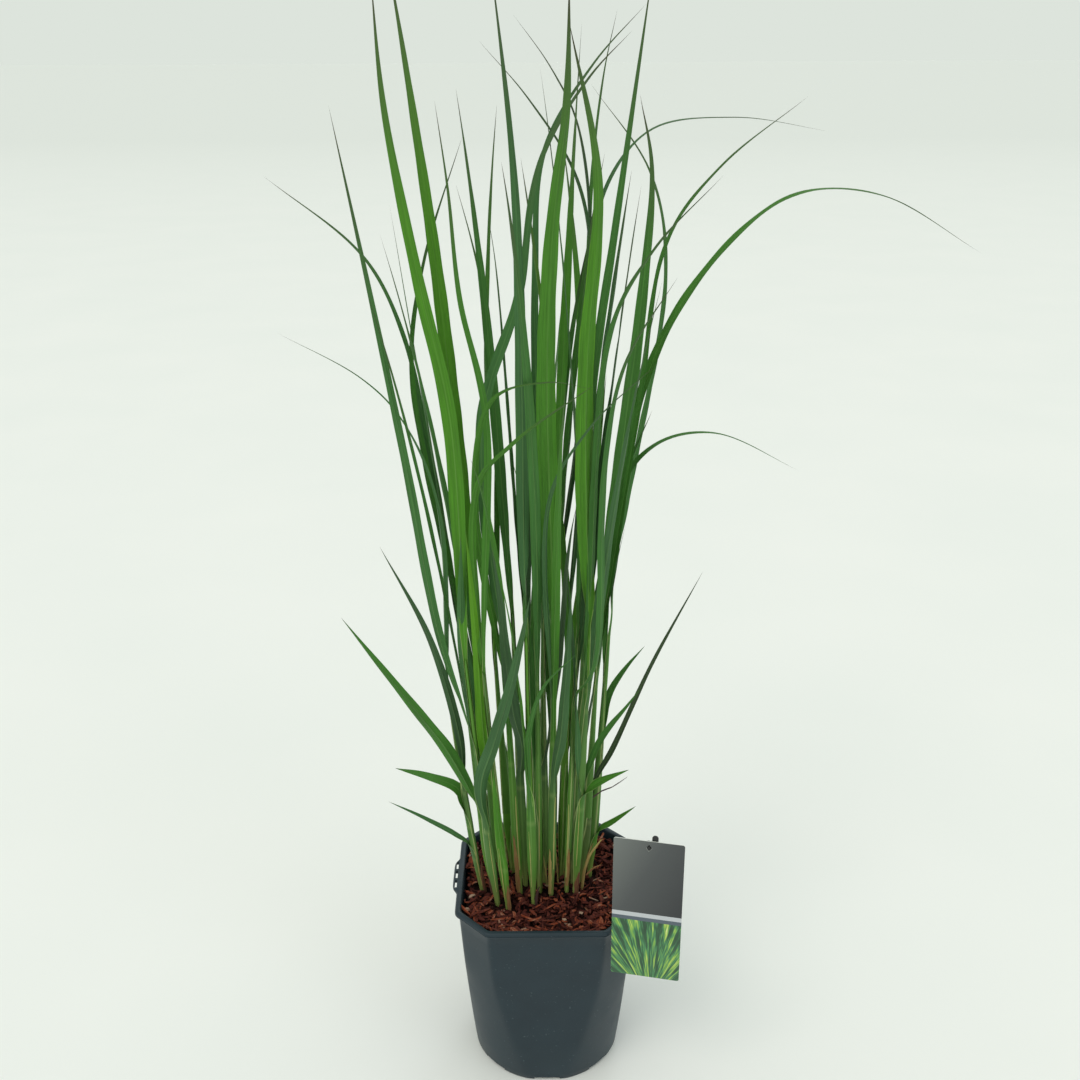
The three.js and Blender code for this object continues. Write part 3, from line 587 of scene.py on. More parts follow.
def stem_radius(z: Points | float, top: Points | float) -> Points:
    """Gives a stem's radius at each height, from the height of its top."""
    share = np.clip((np.asarray(z, float) - GROWTH.soil) / (top - GROWTH.soil), 0.0, 1.0)
    return mix(GROWTH.stem_radius, GROWTH.stem_top_radius, share**GROWTH.stem_taper)


@dataclass
class Stem:
    """One stem of the clump."""

    root: Pair
    ruled: int
    top: float = GROWTH.soil

    def axis(self, z: Points | float) -> Points:
        """Gives the middle of the stem at each height."""
        return stem_axis(self.root, z)

    def radius(self, z: Points | float) -> Points:
        """Gives the stem's radius at each height."""
        return stem_radius(z, self.top)


@dataclass
class Blade:
    """One blade: its way before settling, and its rows, which settling moves."""

    stem: int
    width: float
    roll: Pair
    way: Points
    rows: Points = field(init=False)
    home: Points = field(init=False)
    total: float = field(init=False)
    across: Points = field(init=False)
    # Its place on the leaf's scale of greens, if that is not left to its shoot.
    shade: float | None = None

    def __post_init__(self) -> None:
        """Cuts the way into straight segments, more of them where it is long or bends."""
        steps = unit(np.diff(self.way, axis=0))
        turned = float(np.sum(np.arccos(np.clip(dot(steps[:-1], steps[1:]), -1.0, 1.0))))
        length = float(np.sum(np.linalg.norm(np.diff(self.way, axis=0), axis=1)))
        wanted = math.floor(length / GROWTH.segment_length + turned / GROWTH.segment_turn + 0.5)
        self.total = length
        self.home = self.evenly(min(max(wanted, GROWTH.segments[0]), GROWTH.segments[1]))
        self.rows = self.home.copy()
        out = (self.rows[-1] - self.rows[0]) * (1.0, 1.0, 0.0)
        self.across = np.cross((0.0, 0.0, 1.0), unit(out))

    @property
    def segments(self) -> int:
        """Counts the segments between the rows."""
        return len(self.home) - 1

    def evenly(self, count: int) -> Points:
        """Gives points evenly spaced along the way, with count gaps between them.

        Args:
            count: How many gaps there are.

        Returns:
            The points, one more than there are gaps.
        """
        lengths = along_way(self.way)
        goals = lengths[-1] * np.arange(count + 1) / count
        return np.stack([np.interp(goals, lengths, self.way[:, axis]) for axis in range(3)], axis=1)

    def half_width(self, share: Points) -> Points:
        """Gives half the blade's width at each share of its length."""
        swell = mix(GROWTH.base_width, 1.0, ease(0.0, GROWTH.swell_end, share))
        return self.width * swell * (1 - share**GROWTH.taper) ** GROWTH.point / 2

    def frames(self, alongs: Points, share: Points) -> tuple[Points, Points]:
        """Gives the blade's own directions across it and out of its upper face.

        Args:
            alongs: The blade's direction at each place.
            share: Each place's share of the blade's length.

        Returns:
            The directions across and out of the face, one row for each place.
        """
        level = unit(self.across - alongs * dot(alongs, self.across)[:, None])
        up = np.cross(alongs, level)
        roll = np.radians(mix(self.roll[0], self.roll[1], ease(0.0, 1.0, share)))[:, None]
        across = level * np.cos(roll) + up * np.sin(roll)
        return across, np.cross(alongs, across)


@dataclass(frozen=True)
class Ribbon:
    """Points over a blade's face, with the face's own directions there."""

    at: Points
    centre: Points
    across: Points
    face: Points
    along: Points
    half: Points
    fold: Points
    edges: Points
    stride: float


@dataclass
class Settling:
    """Pushes apart the blades that meet, in the same sweeps that shaped the solids."""

    stems: list[Stem]
    blades: list[Blade]
    ribbons: list[Ribbon] = field(init=False)
    sweeps: int = 44
    # How far apart blades are kept, how far from a face one counts as crossing it, and how far
    # along itself a push moves a blade.
    clearance: float = 1.9
    reach: float = 9.0
    spread: float = 85.0
    # Points on each segment, the longest push, and what is added to the distances that are looked at.
    samples: int = 6
    longest: float = 4.0
    margin: float = 2.0
    # How much of a stride a crossing point may lie beside its sample.
    window: float = 0.6
    # The share of two blades, from their shared stem, that isn't looked at.
    own_stem: float = 0.25
    # The rows between which a blade goes from held to free.
    collar: Pair = (0.01, 0.2)
    stem_above: float = 4.0
    stem_start: float = 0.3
    box_margin: float = 4.0
    # How much of a blade's bend is evened out in a sweep, and how much of its move is kept.
    ease_out: float = 0.25
    hold: float = 0.985
    stiff: float = 1e-3

    def __post_init__(self) -> None:
        """Spreads points over every blade."""
        self.ribbons = [self.ribbon(blade) for blade in self.blades]

    def ribbon(self, blade: Blade) -> Ribbon:
        """Spreads points over a blade's face as its rows lie now.

        Args:
            blade: The blade.

        Returns:
            The points, with the directions of the face there.
        """
        count = blade.segments
        rows = blade.rows
        place = np.arange(count + 1)
        alongs = unit(rows[np.minimum(place + 1, count)] - rows[np.maximum(place - 1, 0)])
        share = place / count
        across, face = blade.frames(alongs, share)
        steps = np.arange(self.samples) / self.samples

        def between(values: Points) -> Points:
            """Fills in the samples between the rows.

            Args:
                values: A value for each row.

            Returns:
                A value for each sample.
            """
            low, rise = values[:-1, None], np.diff(values, axis=0)[:, None]
            fine = low + rise * steps.reshape(1, -1, *[1] * (values.ndim - 1))
            return fine.reshape(-1, *values.shape[1:])

        centre, wide, out = between(rows), between(across), between(face)
        half = between(blade.half_width(share))
        fold = between(mix(GROWTH.fold[0], GROWTH.fold[1], share))
        sides = np.array([-1.0, 0.0, 1.0])
        edges = (
            centre[:, None]
            + wide[:, None] * (sides * half[:, None])[..., None]
            + out[:, None] * (np.abs(sides) * (half * fold)[:, None])[..., None]
        )
        at = between(np.arange(count + 1.0))
        stride = blade.total / count / self.samples
        return Ribbon(at, centre, wide, out, between(alongs), half, fold, edges, stride)

    def mobility(self, blade: Blade, at: Points | float) -> Points | float:
        """Gives how freely a blade gives way, from 0 at its collar to 1."""
        return ease(*self.collar, at / blade.segments)

    def push(self, blade: Blade, at: float, shift: Points) -> None:
        """Moves a blade's rows, most of all the one nearest to a place.

        Args:
            blade: The blade.
            at: The place, in rows from the collar.
            shift: How far the rows nearest to it move.
        """
        rows = np.arange(1, blade.segments + 1)
        away = (rows - at) * (blade.total / blade.segments) / self.spread
        weight = np.exp(-away * away) * self.mobility(blade, rows)
        blade.rows[1:] += shift * weight[:, None]

    def crossing(self, first: int, second: int) -> tuple[float, float, int, int] | None:
        """Finds where the second blade comes nearest to the first one's face.

        Args:
            first: The blade whose face is looked at.
            second: The blade that may cross it.

        Returns:
            What the gap lacks, the side that the second blade lies on, and the nearest point of
            each ribbon, or None where the two are clear.
        """
        here, there = self.ribbons[first], self.ribbons[second]
        gap = here.centre[:, None] - there.centre[None]
        reach = here.half[:, None] + there.half[None] + self.clearance + self.margin
        near = dot(gap, gap) <= reach * reach
        if self.blades[first].stem == self.blades[second].stem:
            near &= (np.arange(len(here.at)) >= self.own_stem * len(here.at))[:, None]
            near &= (np.arange(len(there.at)) >= self.own_stem * len(there.at))[None]
        i, j = np.nonzero(near)
        if not len(i):
            return None
        gap = there.edges[j] - here.centre[i][:, None]
        side = np.abs(dot(gap, here.across[i][:, None]))
        half = here.half[i][:, None]
        height = dot(gap, here.face[i][:, None]) - here.fold[i][:, None] * np.minimum(side, half)
        meets = np.abs(dot(gap, here.along[i][:, None])) <= self.window * here.stride
        meets &= side <= half + self.clearance
        meets &= np.abs(height) <= self.reach
        if not meets.any():
            return None
        pair, _ = np.nonzero(meets)
        height = height[meets]
        sign = -1.0 if height.sum() < 0 else 1.0
        lack = self.clearance - sign * height
        worst = int(np.argmax(lack))
        if lack[worst] <= 0:
            return None
        return float(lack[worst]), sign, int(i[pair[worst]]), int(j[pair[worst]])

    def part(self, first: int, second: int) -> bool:
        """Pushes two blades apart if they meet, and says whether it did.

        Args:
            first: One blade's index.
            second: The other blade's index.

        Returns:
            Whether they met.
        """
        found = self.crossing(first, second)
        if found is None:
            return False
        lack, side, i, j = found
        blade, other = self.blades[first], self.blades[second]
        at, other_at = self.ribbons[first].at[i], self.ribbons[second].at[j]
        own, others = self.mobility(blade, at), self.mobility(other, other_at)
        if own + others < self.stiff:
            return False
        shift = self.ribbons[first].face[i] * (side * min(lack, self.longest) / (own + others))
        self.push(other, other_at, shift * others)
        self.push(blade, at, -shift * own)
        return True

    def stem_lacks(self, index: int) -> tuple[Points, Points]:
        """Measures how far each sample of a blade runs into each other blade's stem.

        Args:
            index: The blade that is measured.

        Returns:
            What each edge point lacks by stem and sample, and the stems' middles at each sample.
        """
        ribbon = self.ribbons[index]
        z = np.broadcast_to(ribbon.centre[:, 2], (len(self.stems), len(ribbon.at)))
        tops = np.array([stem.top for stem in self.stems])[:, None]
        axes = stem_axis(np.array([stem.root for stem in self.stems], float)[:, None], z)
        off = ribbon.edges[None] - axes[:, :, None]
        need = stem_radius(z, tops) + self.clearance
        lack = need[..., None] - np.hypot(off[..., 0], off[..., 1])
        lack[(z > tops + self.stem_above) | (ribbon.at < self.stem_start)] = -1.0
        lack[self.blades[index].stem] = -1.0
        return lack, axes

    def clear_stems(self, index: int) -> None:
        """Presses a blade sideways off the other blades' stems, one after the other.

        Args:
            index: The blade's index.
        """
        after = -1
        while True:
            lack, axes = self.stem_lacks(index)
            run_into = np.nonzero(lack.max(axis=(1, 2)) > 0)[0]
            run_into = run_into[run_into > after]
            if not len(run_into):
                return
            after = run_into[0]
            place = int(np.argmax(lack[after])) // 3
            ribbon = self.ribbons[index]
            away = unit((ribbon.centre[place] - axes[after, place]) * (1.0, 1.0, 0.0))
            self.push(self.blades[index], ribbon.at[place], away * lack[after, place].max())
            self.ribbons[index] = self.ribbon(self.blades[index])

    def relax(self, blade: Blade) -> None:
        """Evens out how far the rows have moved, so that no blade is kinked by a push.

        Args:
            blade: The blade.
        """
        moved = blade.rows - blade.home
        after = moved[np.minimum(np.arange(1, blade.segments + 1) + 1, blade.segments)]
        even = (moved[:-1] + after) * 0.5
        blade.rows[1:] = blade.home[1:] + mix(moved[1:], even, self.ease_out) * self.hold

    def run(self) -> None:
        """Sweeps over all the blades until they lie clear of each other."""
        for _ in range(self.sweeps):
            for index, blade in enumerate(self.blades):
                self.relax(blade)
                self.ribbons[index] = self.ribbon(blade)
            margins = np.array([blade.width / 2 + self.box_margin for blade in self.blades])[:, None]
            low = np.array([blade.rows.min(0) for blade in self.blades]) - margins
            high = np.array([blade.rows.max(0) for blade in self.blades]) + margins
            meet = np.all((low[:, None] <= high[None]) & (low[None] <= high[:, None]), axis=2)
            for first, blade in enumerate(self.blades):
                self.clear_stems(first)
                for second in np.nonzero(meet[first])[0]:
                    if second != first and self.part(first, second):
                        self.ribbons[first] = self.ribbon(blade)
                        self.ribbons[second] = self.ribbon(self.blades[second])


def centripetal(points: Points, at: Points) -> Points:
    """Reads a centripetal Catmull-Rom curve.

    Args:
        points: The points that the curve goes through.
        at: The places to read, from 0 at the first point to 1 at the last.

    Returns:
        The curve's point at each place.
    """
    last = len(points) - 1
    ends = np.concatenate([2 * points[:1] - points[1:2], points, 2 * points[-1:] - points[-2:-1]])
    low = np.minimum(np.floor(at * last).astype(int), last - 1)
    t = (at * last - low)[:, None]
    p0, p1, p2, p3 = (ends[low + step] for step in range(4))
    d0, d1, d2 = (dot(b - a, b - a)[:, None] ** 0.25 for a, b in ((p0, p1), (p1, p2), (p2, p3)))
    slope_in = ((p1 - p0) / d0 - (p2 - p0) / (d0 + d1) + (p2 - p1) / d1) * d1
    slope_out = ((p2 - p1) / d1 - (p3 - p1) / (d1 + d2) + (p3 - p2) / d2) * d1
    return cubic(p1, p2, slope_in, slope_out, t)


def placed_way(stem: Stem, collar: float, way: tuple) -> Points:
    """Leads a placed blade from its collar through its points.

    Args:
        stem: The stem that the blade grows on.
        collar: The height that it leaves at.
        way: Its points above the collar.

    Returns:
        Points along the blade.
    """
    points = np.array([stem.axis(collar - GROWTH.guide), stem.axis(collar), *way], float)
    start = 1 / (len(points) - 1)
    return centripetal(points, mix(start, 1.0, np.arange(GROWTH.way_steps + 1) / GROWTH.way_steps))


def ruled_way(stem: Stem, collar: float, length: float, spread: float, azimuth: float) -> Points:
    """Arches a blade in an upright plane: it leaves along the stem and bends out to its tip.

    Args:
        stem: The stem that the blade grows on.
        collar: The height that it leaves at.
        length: The blade's length.
        spread: How far it bends over, in degrees.
        azimuth: The direction that it bends in, in radians.

    Returns:
        Points along the blade.
    """
    steps = GROWTH.way_steps
    start = stem.axis(collar)
    lean = (start - stem.axis(collar - RULE.lean_over)) / RULE.lean_over
    share = (np.arange(steps) + 0.5) / steps
    bend = np.radians(RULE.start_bend + spread * share**RULE.curl)
    stride = length / steps
    x = (math.cos(azimuth) * np.sin(bend) + lean[0] * (1 - share)) * stride
    y = (math.sin(azimuth) * np.sin(bend) + lean[1] * (1 - share)) * stride
    moves = np.stack([x, y, np.cos(bend) * stride], axis=1)
    return np.concatenate([start[None], start + np.cumsum(moves, axis=0)])


def grow_blades(stems: list[Stem]) -> list[Blade]:
    """Makes every blade of the clump: first the placed ones, and then those that grow by rule.

    Args:
        stems: The stems of the clump.

    Returns:
        The blades, not yet settled.
    """
    blades = []
    for number, collar, width, roll, *way in PLACED_BLADES:
        blades.append(Blade(number - 1, width, roll, placed_way(stems[number - 1], collar, way)))
    draws = Draws(RULE.seed)
    turn = math.radians(RULE.turn)
    for index, stem in enumerate(stems):
        x, y = (place - middle for place, middle in zip(stem.root, GROWTH.centre))
        outward = math.atan2(RULE.deepening * y, x) + draws.swing(turn)
        side_width = mix(RULE.left_width, 1.0, float(ease(*RULE.left_shoots, stem.root[0])))
        for place in range(stem.ruled):
            rank = RULE.ranks[(3 * index + 2 * place + 1) % len(RULE.ranks)]
            azimuth = outward + math.pi * place + draws.swing(turn)
            inward = RULE.inward if place == 1 else 1.0
            sideways = mix(1.0, RULE.sideways_spread, abs(math.cos(azimuth)))
            collar = GROWTH.soil + rank[0] * draws.vary(RULE.jitter)
            length = rank[1] * draws.vary(RULE.jitter)
            spread = rank[2] * inward * sideways * draws.vary(2 * RULE.jitter)
            width = rank[3] * draws.vary(RULE.jitter) * side_width
            roll = (draws.swing(RULE.roll), draws.swing(RULE.roll))
            blades.append(Blade(index, width, roll, ruled_way(stem, collar, length, spread, azimuth)))
    return blades


# ---------------------------------------------------------------- finishes

# Settings for colours laid over each other, for colours shaded by a tone, and for smooth fades.
BLEND = {"data_type": "RGBA"}
SHADE = {"data_type": "RGBA", "blend_type": "MULTIPLY"}
SMOOTHLY = {"interpolation_type": "SMOOTHSTEP"}


def per_mm(size: float) -> float:
    """Gives the scale of a pattern, read in metres, whose features are this many millimetres."""
    return 1.0 / (size * MM)


@dataclass(frozen=True)
class Finish:
    """What every finish starts from."""

    name: str

    def start(self) -> tuple[Material, Callable[..., Node], Callable[..., None]]:
        """Makes an empty material, and gives it with what adds nodes to it and plugs its shader.

        Returns:
            The material, what adds a node to it, and what plugs its shader.
        """
        material = bpy.data.materials.new(self.name)
        material.use_nodes = True
        tree = material.node_tree
        return material, partial(add_node, tree), partial(plug, tree, tree.nodes["Principled BSDF"])


@dataclass(frozen=True)
class Mottled(Finish):
    """A finish whose colour, gloss and relief all follow one even noise."""

    stops: Stops
    size: float
    detail: float
    fineness: float = 0.5
    gloss: Pair = (0.5, 0.5)
    # The relief's strength and its depth in millimetres.
    relief: Pair = (0.0, 0.0)

    def build(self) -> Material:
        """Makes the material.

        Returns:
            The material.
        """
        material, add, surface = self.start()
        place = add("TexCoord").outputs["Object"]
        noise = {"Scale": per_mm(self.size), "Detail": self.detail, "Roughness": self.fineness}
        mottle = add("TexNoise", Vector=place, **noise)
        colour = add("ValToRGB", {"stops": self.stops}, Fac=mottle).outputs["Color"]
        gloss = add("MapRange", Value=mottle, To=self.gloss)
        surface(Base_Color=colour, Roughness=gloss)
        strength, depth = self.relief
        if strength:
            surface(Normal=add("Bump", Strength=strength, Distance=depth * MM, Height=mottle))
        return material


@dataclass(frozen=True)
class PottingMix(Mottled):
    """Peat potting mix: matt and almost black, with brown fibres and crumbs."""

    name: str = "peat_potting_mix"
    stops: Stops = ((0.3, "#120b07"), (0.55, "#2b1d14"), (0.75, "#4d3624"))
    size: float = 3.0
    detail: float = 6.0
    fineness: float = 0.7
    gloss: Pair = (0.95, 0.95)
    relief: Pair = (1.0, 1.2)


@dataclass(frozen=True)
class BlackPlastic(Mottled):
    """Moulded black polystyrene: smooth and slightly shiny, with faint flow marks."""

    name: str = "moulded_black_polystyrene"
    stops: Stops = ((0.3, "#0f1012"), (0.7, "#1e2022"))
    size: float = 6.0
    detail: float = 3.0
    gloss: Pair = (0.28, 0.44)


@dataclass(frozen=True)
class PlainCard(Mottled):
    """Unprinted laminated card: white board with a faint mottle under a glossy film."""

    name: str = "laminated_white_card"
    stops: Stops = ((0.3, "#d6d7d4"), (0.7, "#e6e7e4"))
    size: float = 5.0
    detail: float = 4.0
    gloss: Pair = (0.34, 0.34)


@dataclass(frozen=True)
class LivingLeaf(Finish):
    """Living grass leaf: waxy and ribbed along its length, so it has a soft sheen and streaks of
    tone that run from the base to the tip, with a faint midrib and a long dark point."""

    name: str = "living_grass_leaf"
    greens: Stops = (
        (0.0, "#454a38"),
        (0.14, "#3a5436"),
        (0.3, "#426e3e"),
        (0.46, "#3f7428"),
        (0.66, "#4b8422"),
        (0.84, "#68a01f"),
        (1.0, "#93b028"),
    )
    midrib: str = "#9abf74"
    sheath: str = "#6b9440"
    margin: str = "#abb97c"
    collar: str = "#93ab66"
    earthy: str = "#a5a860"
    dull_tip: str = "#4e583f"
    dry_tip: str = "#4b3a34"
    # How many streaks lie side by side, and how slowly they change along the leaf.
    streaks: float = 1.6
    streak_run: float = 0.009
    # Each layer of streaks: how much finer it is than the last, its detail and fineness, the part
    # of its noise that shows, and the tones there.
    tones: tuple[tuple[float, float, float, Pair, Pair], ...] = (
        (1.0, 4.0, 0.6, (0.3, 0.7), (0.8, 1.18)),
        (7.0, 2.0, 0.5, (0.35, 0.65), (0.84, 1.14)),
    )
    # Real veins lie about a quarter of a millimetre apart; these are a few times as coarse.
    veins: float = 6.0
    gloss: Pair = (0.44, 0.58)

    def build(self) -> Material:
        """Makes the material.

        Returns:
            The material.
        """
        material, add, surface = self.start()
        across, share, reach, hue, age = (
            add("Attribute", {"attribute_name": name}).outputs["Fac"]
            for name in ("across", "share", "reach", "hue", "age")
        )
        colour = add("ValToRGB", {"stops": self.greens}, Fac=hue).outputs["Color"]
        place = add("TexCoord").outputs["Object"]
        height = add("SeparateXYZ", Vector=place).outputs["Z"]

        # Long streaks of tone and finer veins, each leaf with its own.
        beside = add("Math", "MULTIPLY", in_0=across, in_1=self.streaks)
        beside = add("Math", "MULTIPLY_ADD", in_0=age, in_1=90.0, in_2=beside)
        along = add("Math", "MULTIPLY", in_0=reach, in_1=self.streak_run)
        noises = []
        for finer, detail, fineness, shown, tones in self.tones:
            beside = add("Math", "MULTIPLY", in_0=beside, in_1=finer)
            where = add("CombineXYZ", X=beside, Y=along, Z=age)
            noises.append(add("TexNoise", Vector=where, Scale=2.0, Detail=detail, Roughness=fineness))
            tone = add("MapRange", Value=noises[-1], From=shown, To=tones)
            colour = add("Mix", SHADE, in_0=1.0, in_6=colour, in_7=tone)

        # What lies over the green: a colour, its greatest strength, what its smooth fade reads,
        # where that starts and ends, and the share of the strength at each end.
        rim = add("Math", "ABSOLUTE", in_0=across)
        from_collar = add("Math", "ABSOLUTE", in_0=reach)
        towards_tip = add("MapRange", Value=share, From=(0.0, 0.6), To=(0.26, 0.05))
        near_collar = add("MapRange", SMOOTHLY, Value=reach, From=(0.0, 70.0), To=(1.0, 0.0))
        with_age = add("MapRange", Value=age, From=(0.0, 0.8), To=(0.2, 0.8))
        dulls_at = add("MapRange", Value=age, To=(0.93, 0.62))
        dries_at = add("MapRange", Value=age, To=(0.985, 0.9))
        layers = (
            (self.midrib, towards_tip, rim, (0.02, 0.13), (1.0, 0.0)),
            (self.sheath, 0.45, reach, (-40.0, 45.0), (1.0, 0.0)),
            (self.margin, near_collar, rim, (0.82, 0.96), (0.0, 0.8)),
            (self.collar, 0.22, from_collar, (0.0, 5.0), (1.0, 0.0)),
            (self.earthy, 0.5, height, (0.172, 0.215), (1.0, 0.0)),
            (self.dull_tip, with_age, share, (dulls_at, 1.0), (0.0, 1.0)),
            (self.dry_tip, 0.9, share, (dries_at, 1.0), (0.0, 1.0)),
        )
        for over, most, reading, start_end, shares in layers:
            fade = add("MapRange", SMOOTHLY, Value=reading, From=start_end, To=shares)
            strength = add("Math", "MULTIPLY", in_0=fade, in_1=most)
            colour = add("Mix", BLEND, in_0=strength, in_6=colour, in_7=linear(over))

        ribs = add("Math", "MULTIPLY", in_0=across, in_1=math.tau * self.veins)
        ribs = add("Math", "SINE", in_0=ribs)
        relief = add("Bump", Strength=0.35, Distance=0.15 * MM, Height=ribs)
        gloss = add("MapRange", Value=noises[0], From=(0.3, 0.7), To=self.gloss)
        surface(Base_Color=colour, Roughness=gloss, Specular_IOR_Level=0.2, Normal=relief)
        return material


@dataclass(frozen=True)
class DrySheath(Finish):
    """Dead leaf sheath: papery and fibrous, so it is dull, tan to reddish brown and streaked."""

    name: str = "dry_papery_sheath"
    browns: Stops = (
        (0.0, "#4c3a3c"),
        (0.25, "#643c2e"),
        (0.5, "#8f6440"),
        (0.75, "#a99358"),
        (1.0, "#a8ae66"),
    )
    # How many fibres lie side by side, how slowly they change along the sheath, and their contrast.
    fibres: float = 2.5
    fibre_run: float = 0.03
    contrast: float = 0.9

    def build(self) -> Material:
        """Makes the material.

        Returns:
            The material.
        """
        material, add, surface = self.start()
        across, reach, hue = (
            add("Attribute", {"attribute_name": name}).outputs["Fac"] for name in ("across", "reach", "hue")
        )
        beside = add("Math", "MULTIPLY_ADD", in_0=across, in_1=self.fibres, in_2=hue)
        along = add("Math", "MULTIPLY", in_0=reach, in_1=self.fibre_run)
        where = add("CombineXYZ", X=beside, Y=along, Z=hue)
        fibre = add("TexNoise", Vector=where, Scale=2.4, Detail=5.0, Roughness=0.7)
        tone = add("Math", "MULTIPLY_ADD", in_0=fibre, in_1=self.contrast, in_2=hue)
        tone = add("Math", "SUBTRACT", in_0=tone, in_1=self.contrast / 2)
        colour = add("ValToRGB", {"stops": self.browns}, Fac=tone).outputs["Color"]
        relief = add("Bump", Strength=0.6, Distance=0.3 * MM, Height=fibre)
        surface(Base_Color=colour, Roughness=0.82, Normal=relief)
        return material


@dataclass(frozen=True)
class MouldedPolypropylene(Finish):
    """Injection-moulded recycled polypropylene: satin, with a fine grain from the mould, a faint
    cloudiness in the colour, a few pale specks of dust, and a tone that grows paler towards the ground."""

    name: str = "moulded_polypropylene"
    dark: str = "#1f2d36"
    light: str = "#24333c"
    dust_and_foot_tone: str = "#566368"
    cloud_size: float = 38.0
    # The mould's grain is about 0.1 mm; it is drawn at 0.7 mm so that it shows.
    grain_size: float = 0.7
    speck_size: float = 2.6

    def build(self) -> Material:
        """Makes the material.

        Returns:
            The material.
        """
        material, add, surface = self.start()
        place = add("TexCoord").outputs["Object"]
        height = add("SeparateXYZ", Vector=place).outputs["Z"]
        sizes = ((self.cloud_size, 3.0), (self.grain_size, 2.0), (self.speck_size, 1.0))
        cloud, grain, speck = (
            add("TexNoise", Vector=place, Scale=per_mm(size), Detail=detail) for size, detail in sizes
        )
        stops = ((0.25, self.dark), (0.75, self.light))
        colour = add("ValToRGB", {"stops": stops}, Fac=cloud).outputs["Color"]
        fleck = add("MapRange", Value=grain, From=(0.3, 0.7), To=(0.93, 1.07))
        colour = add("Mix", SHADE, in_0=1.0, in_6=colour, in_7=fleck)
        specks = add("MapRange", Value=speck, From=(0.7, 0.78), To=(0.0, 0.45))
        # Paler towards the ground, in the same pale tone as the specks of dust.
        low = add("MapRange", Value=height, From=(0.0, 0.05), To=(0.22, 0.03))
        paler_foot = add("Math", "MULTIPLY", in_0=low, in_1=cloud)
        specks_and_paler_foot = add("Math", "MAXIMUM", in_0=specks, in_1=paler_foot)
        colour = add("Mix", BLEND, in_0=specks_and_paler_foot, in_6=colour, in_7=linear(self.dust_and_foot_tone))
        gloss = add("MapRange", Value=cloud, From=(0.3, 0.7), To=(0.36, 0.48))
        relief = add("Bump", Strength=0.25, Distance=0.06 * MM, Height=grain)
        surface(Base_Color=colour, Roughness=gloss, Specular_IOR_Level=0.3, Normal=relief)
        return material


@dataclass(frozen=True)
class ShreddedBark(Finish):
    """Shredded pine bark: rough split wood, rust red to dark brown with a few pale splinters, and
    fibres that run along each chip."""

    name: str = "shredded_pine_bark"
    tones: Stops = (
        (0.0, "#0b0404"),
        (0.2, "#2a100d"),
        (0.4, "#4a221e"),
        (0.52, "#602e26"),
        (0.62, "#58342f"),
        (0.74, "#853a20"),
        (0.86, "#8c5440"),
        (0.94, "#97705f"),
        (1.0, "#a88d7b"),
    )
    fibre_size: float = 1.1
    # The chip's own length is its X, so the pattern is drawn out along that.
    fibre_stretch: Triple = (0.16, 1.0, 1.0)

    def build(self) -> Material:
        """Makes the material.

        Returns:
            The material.
        """
        material, add, surface = self.start()
        tone = add("Attribute", {"attribute_name": "tone"}).outputs["Fac"]
        own = add("Attribute", {"attribute_name": "grain"}).outputs["Vector"]
        drawn = add("VectorMath", "MULTIPLY", in_0=own, in_1=self.fibre_stretch)
        moved = add("VectorMath", "ADD", in_0=drawn, in_1=tone)
        fibre = add("TexNoise", Vector=moved, Scale=1.0 / self.fibre_size, Detail=5.0, Roughness=0.7)
        shift = add("MapRange", Value=fibre, From=(0.3, 0.7), To=(-0.22, 0.2))
        level = add("Math", "ADD", in_0=tone, in_1=shift)
        colour = add("ValToRGB", {"stops": self.tones}, Fac=level).outputs["Color"]
        relief = add("Bump", Strength=0.9, Distance=0.5 * MM, Height=fibre)
        surface(Base_Color=colour, Roughness=0.86, Specular_IOR_Level=0.12, Normal=relief)
        return material


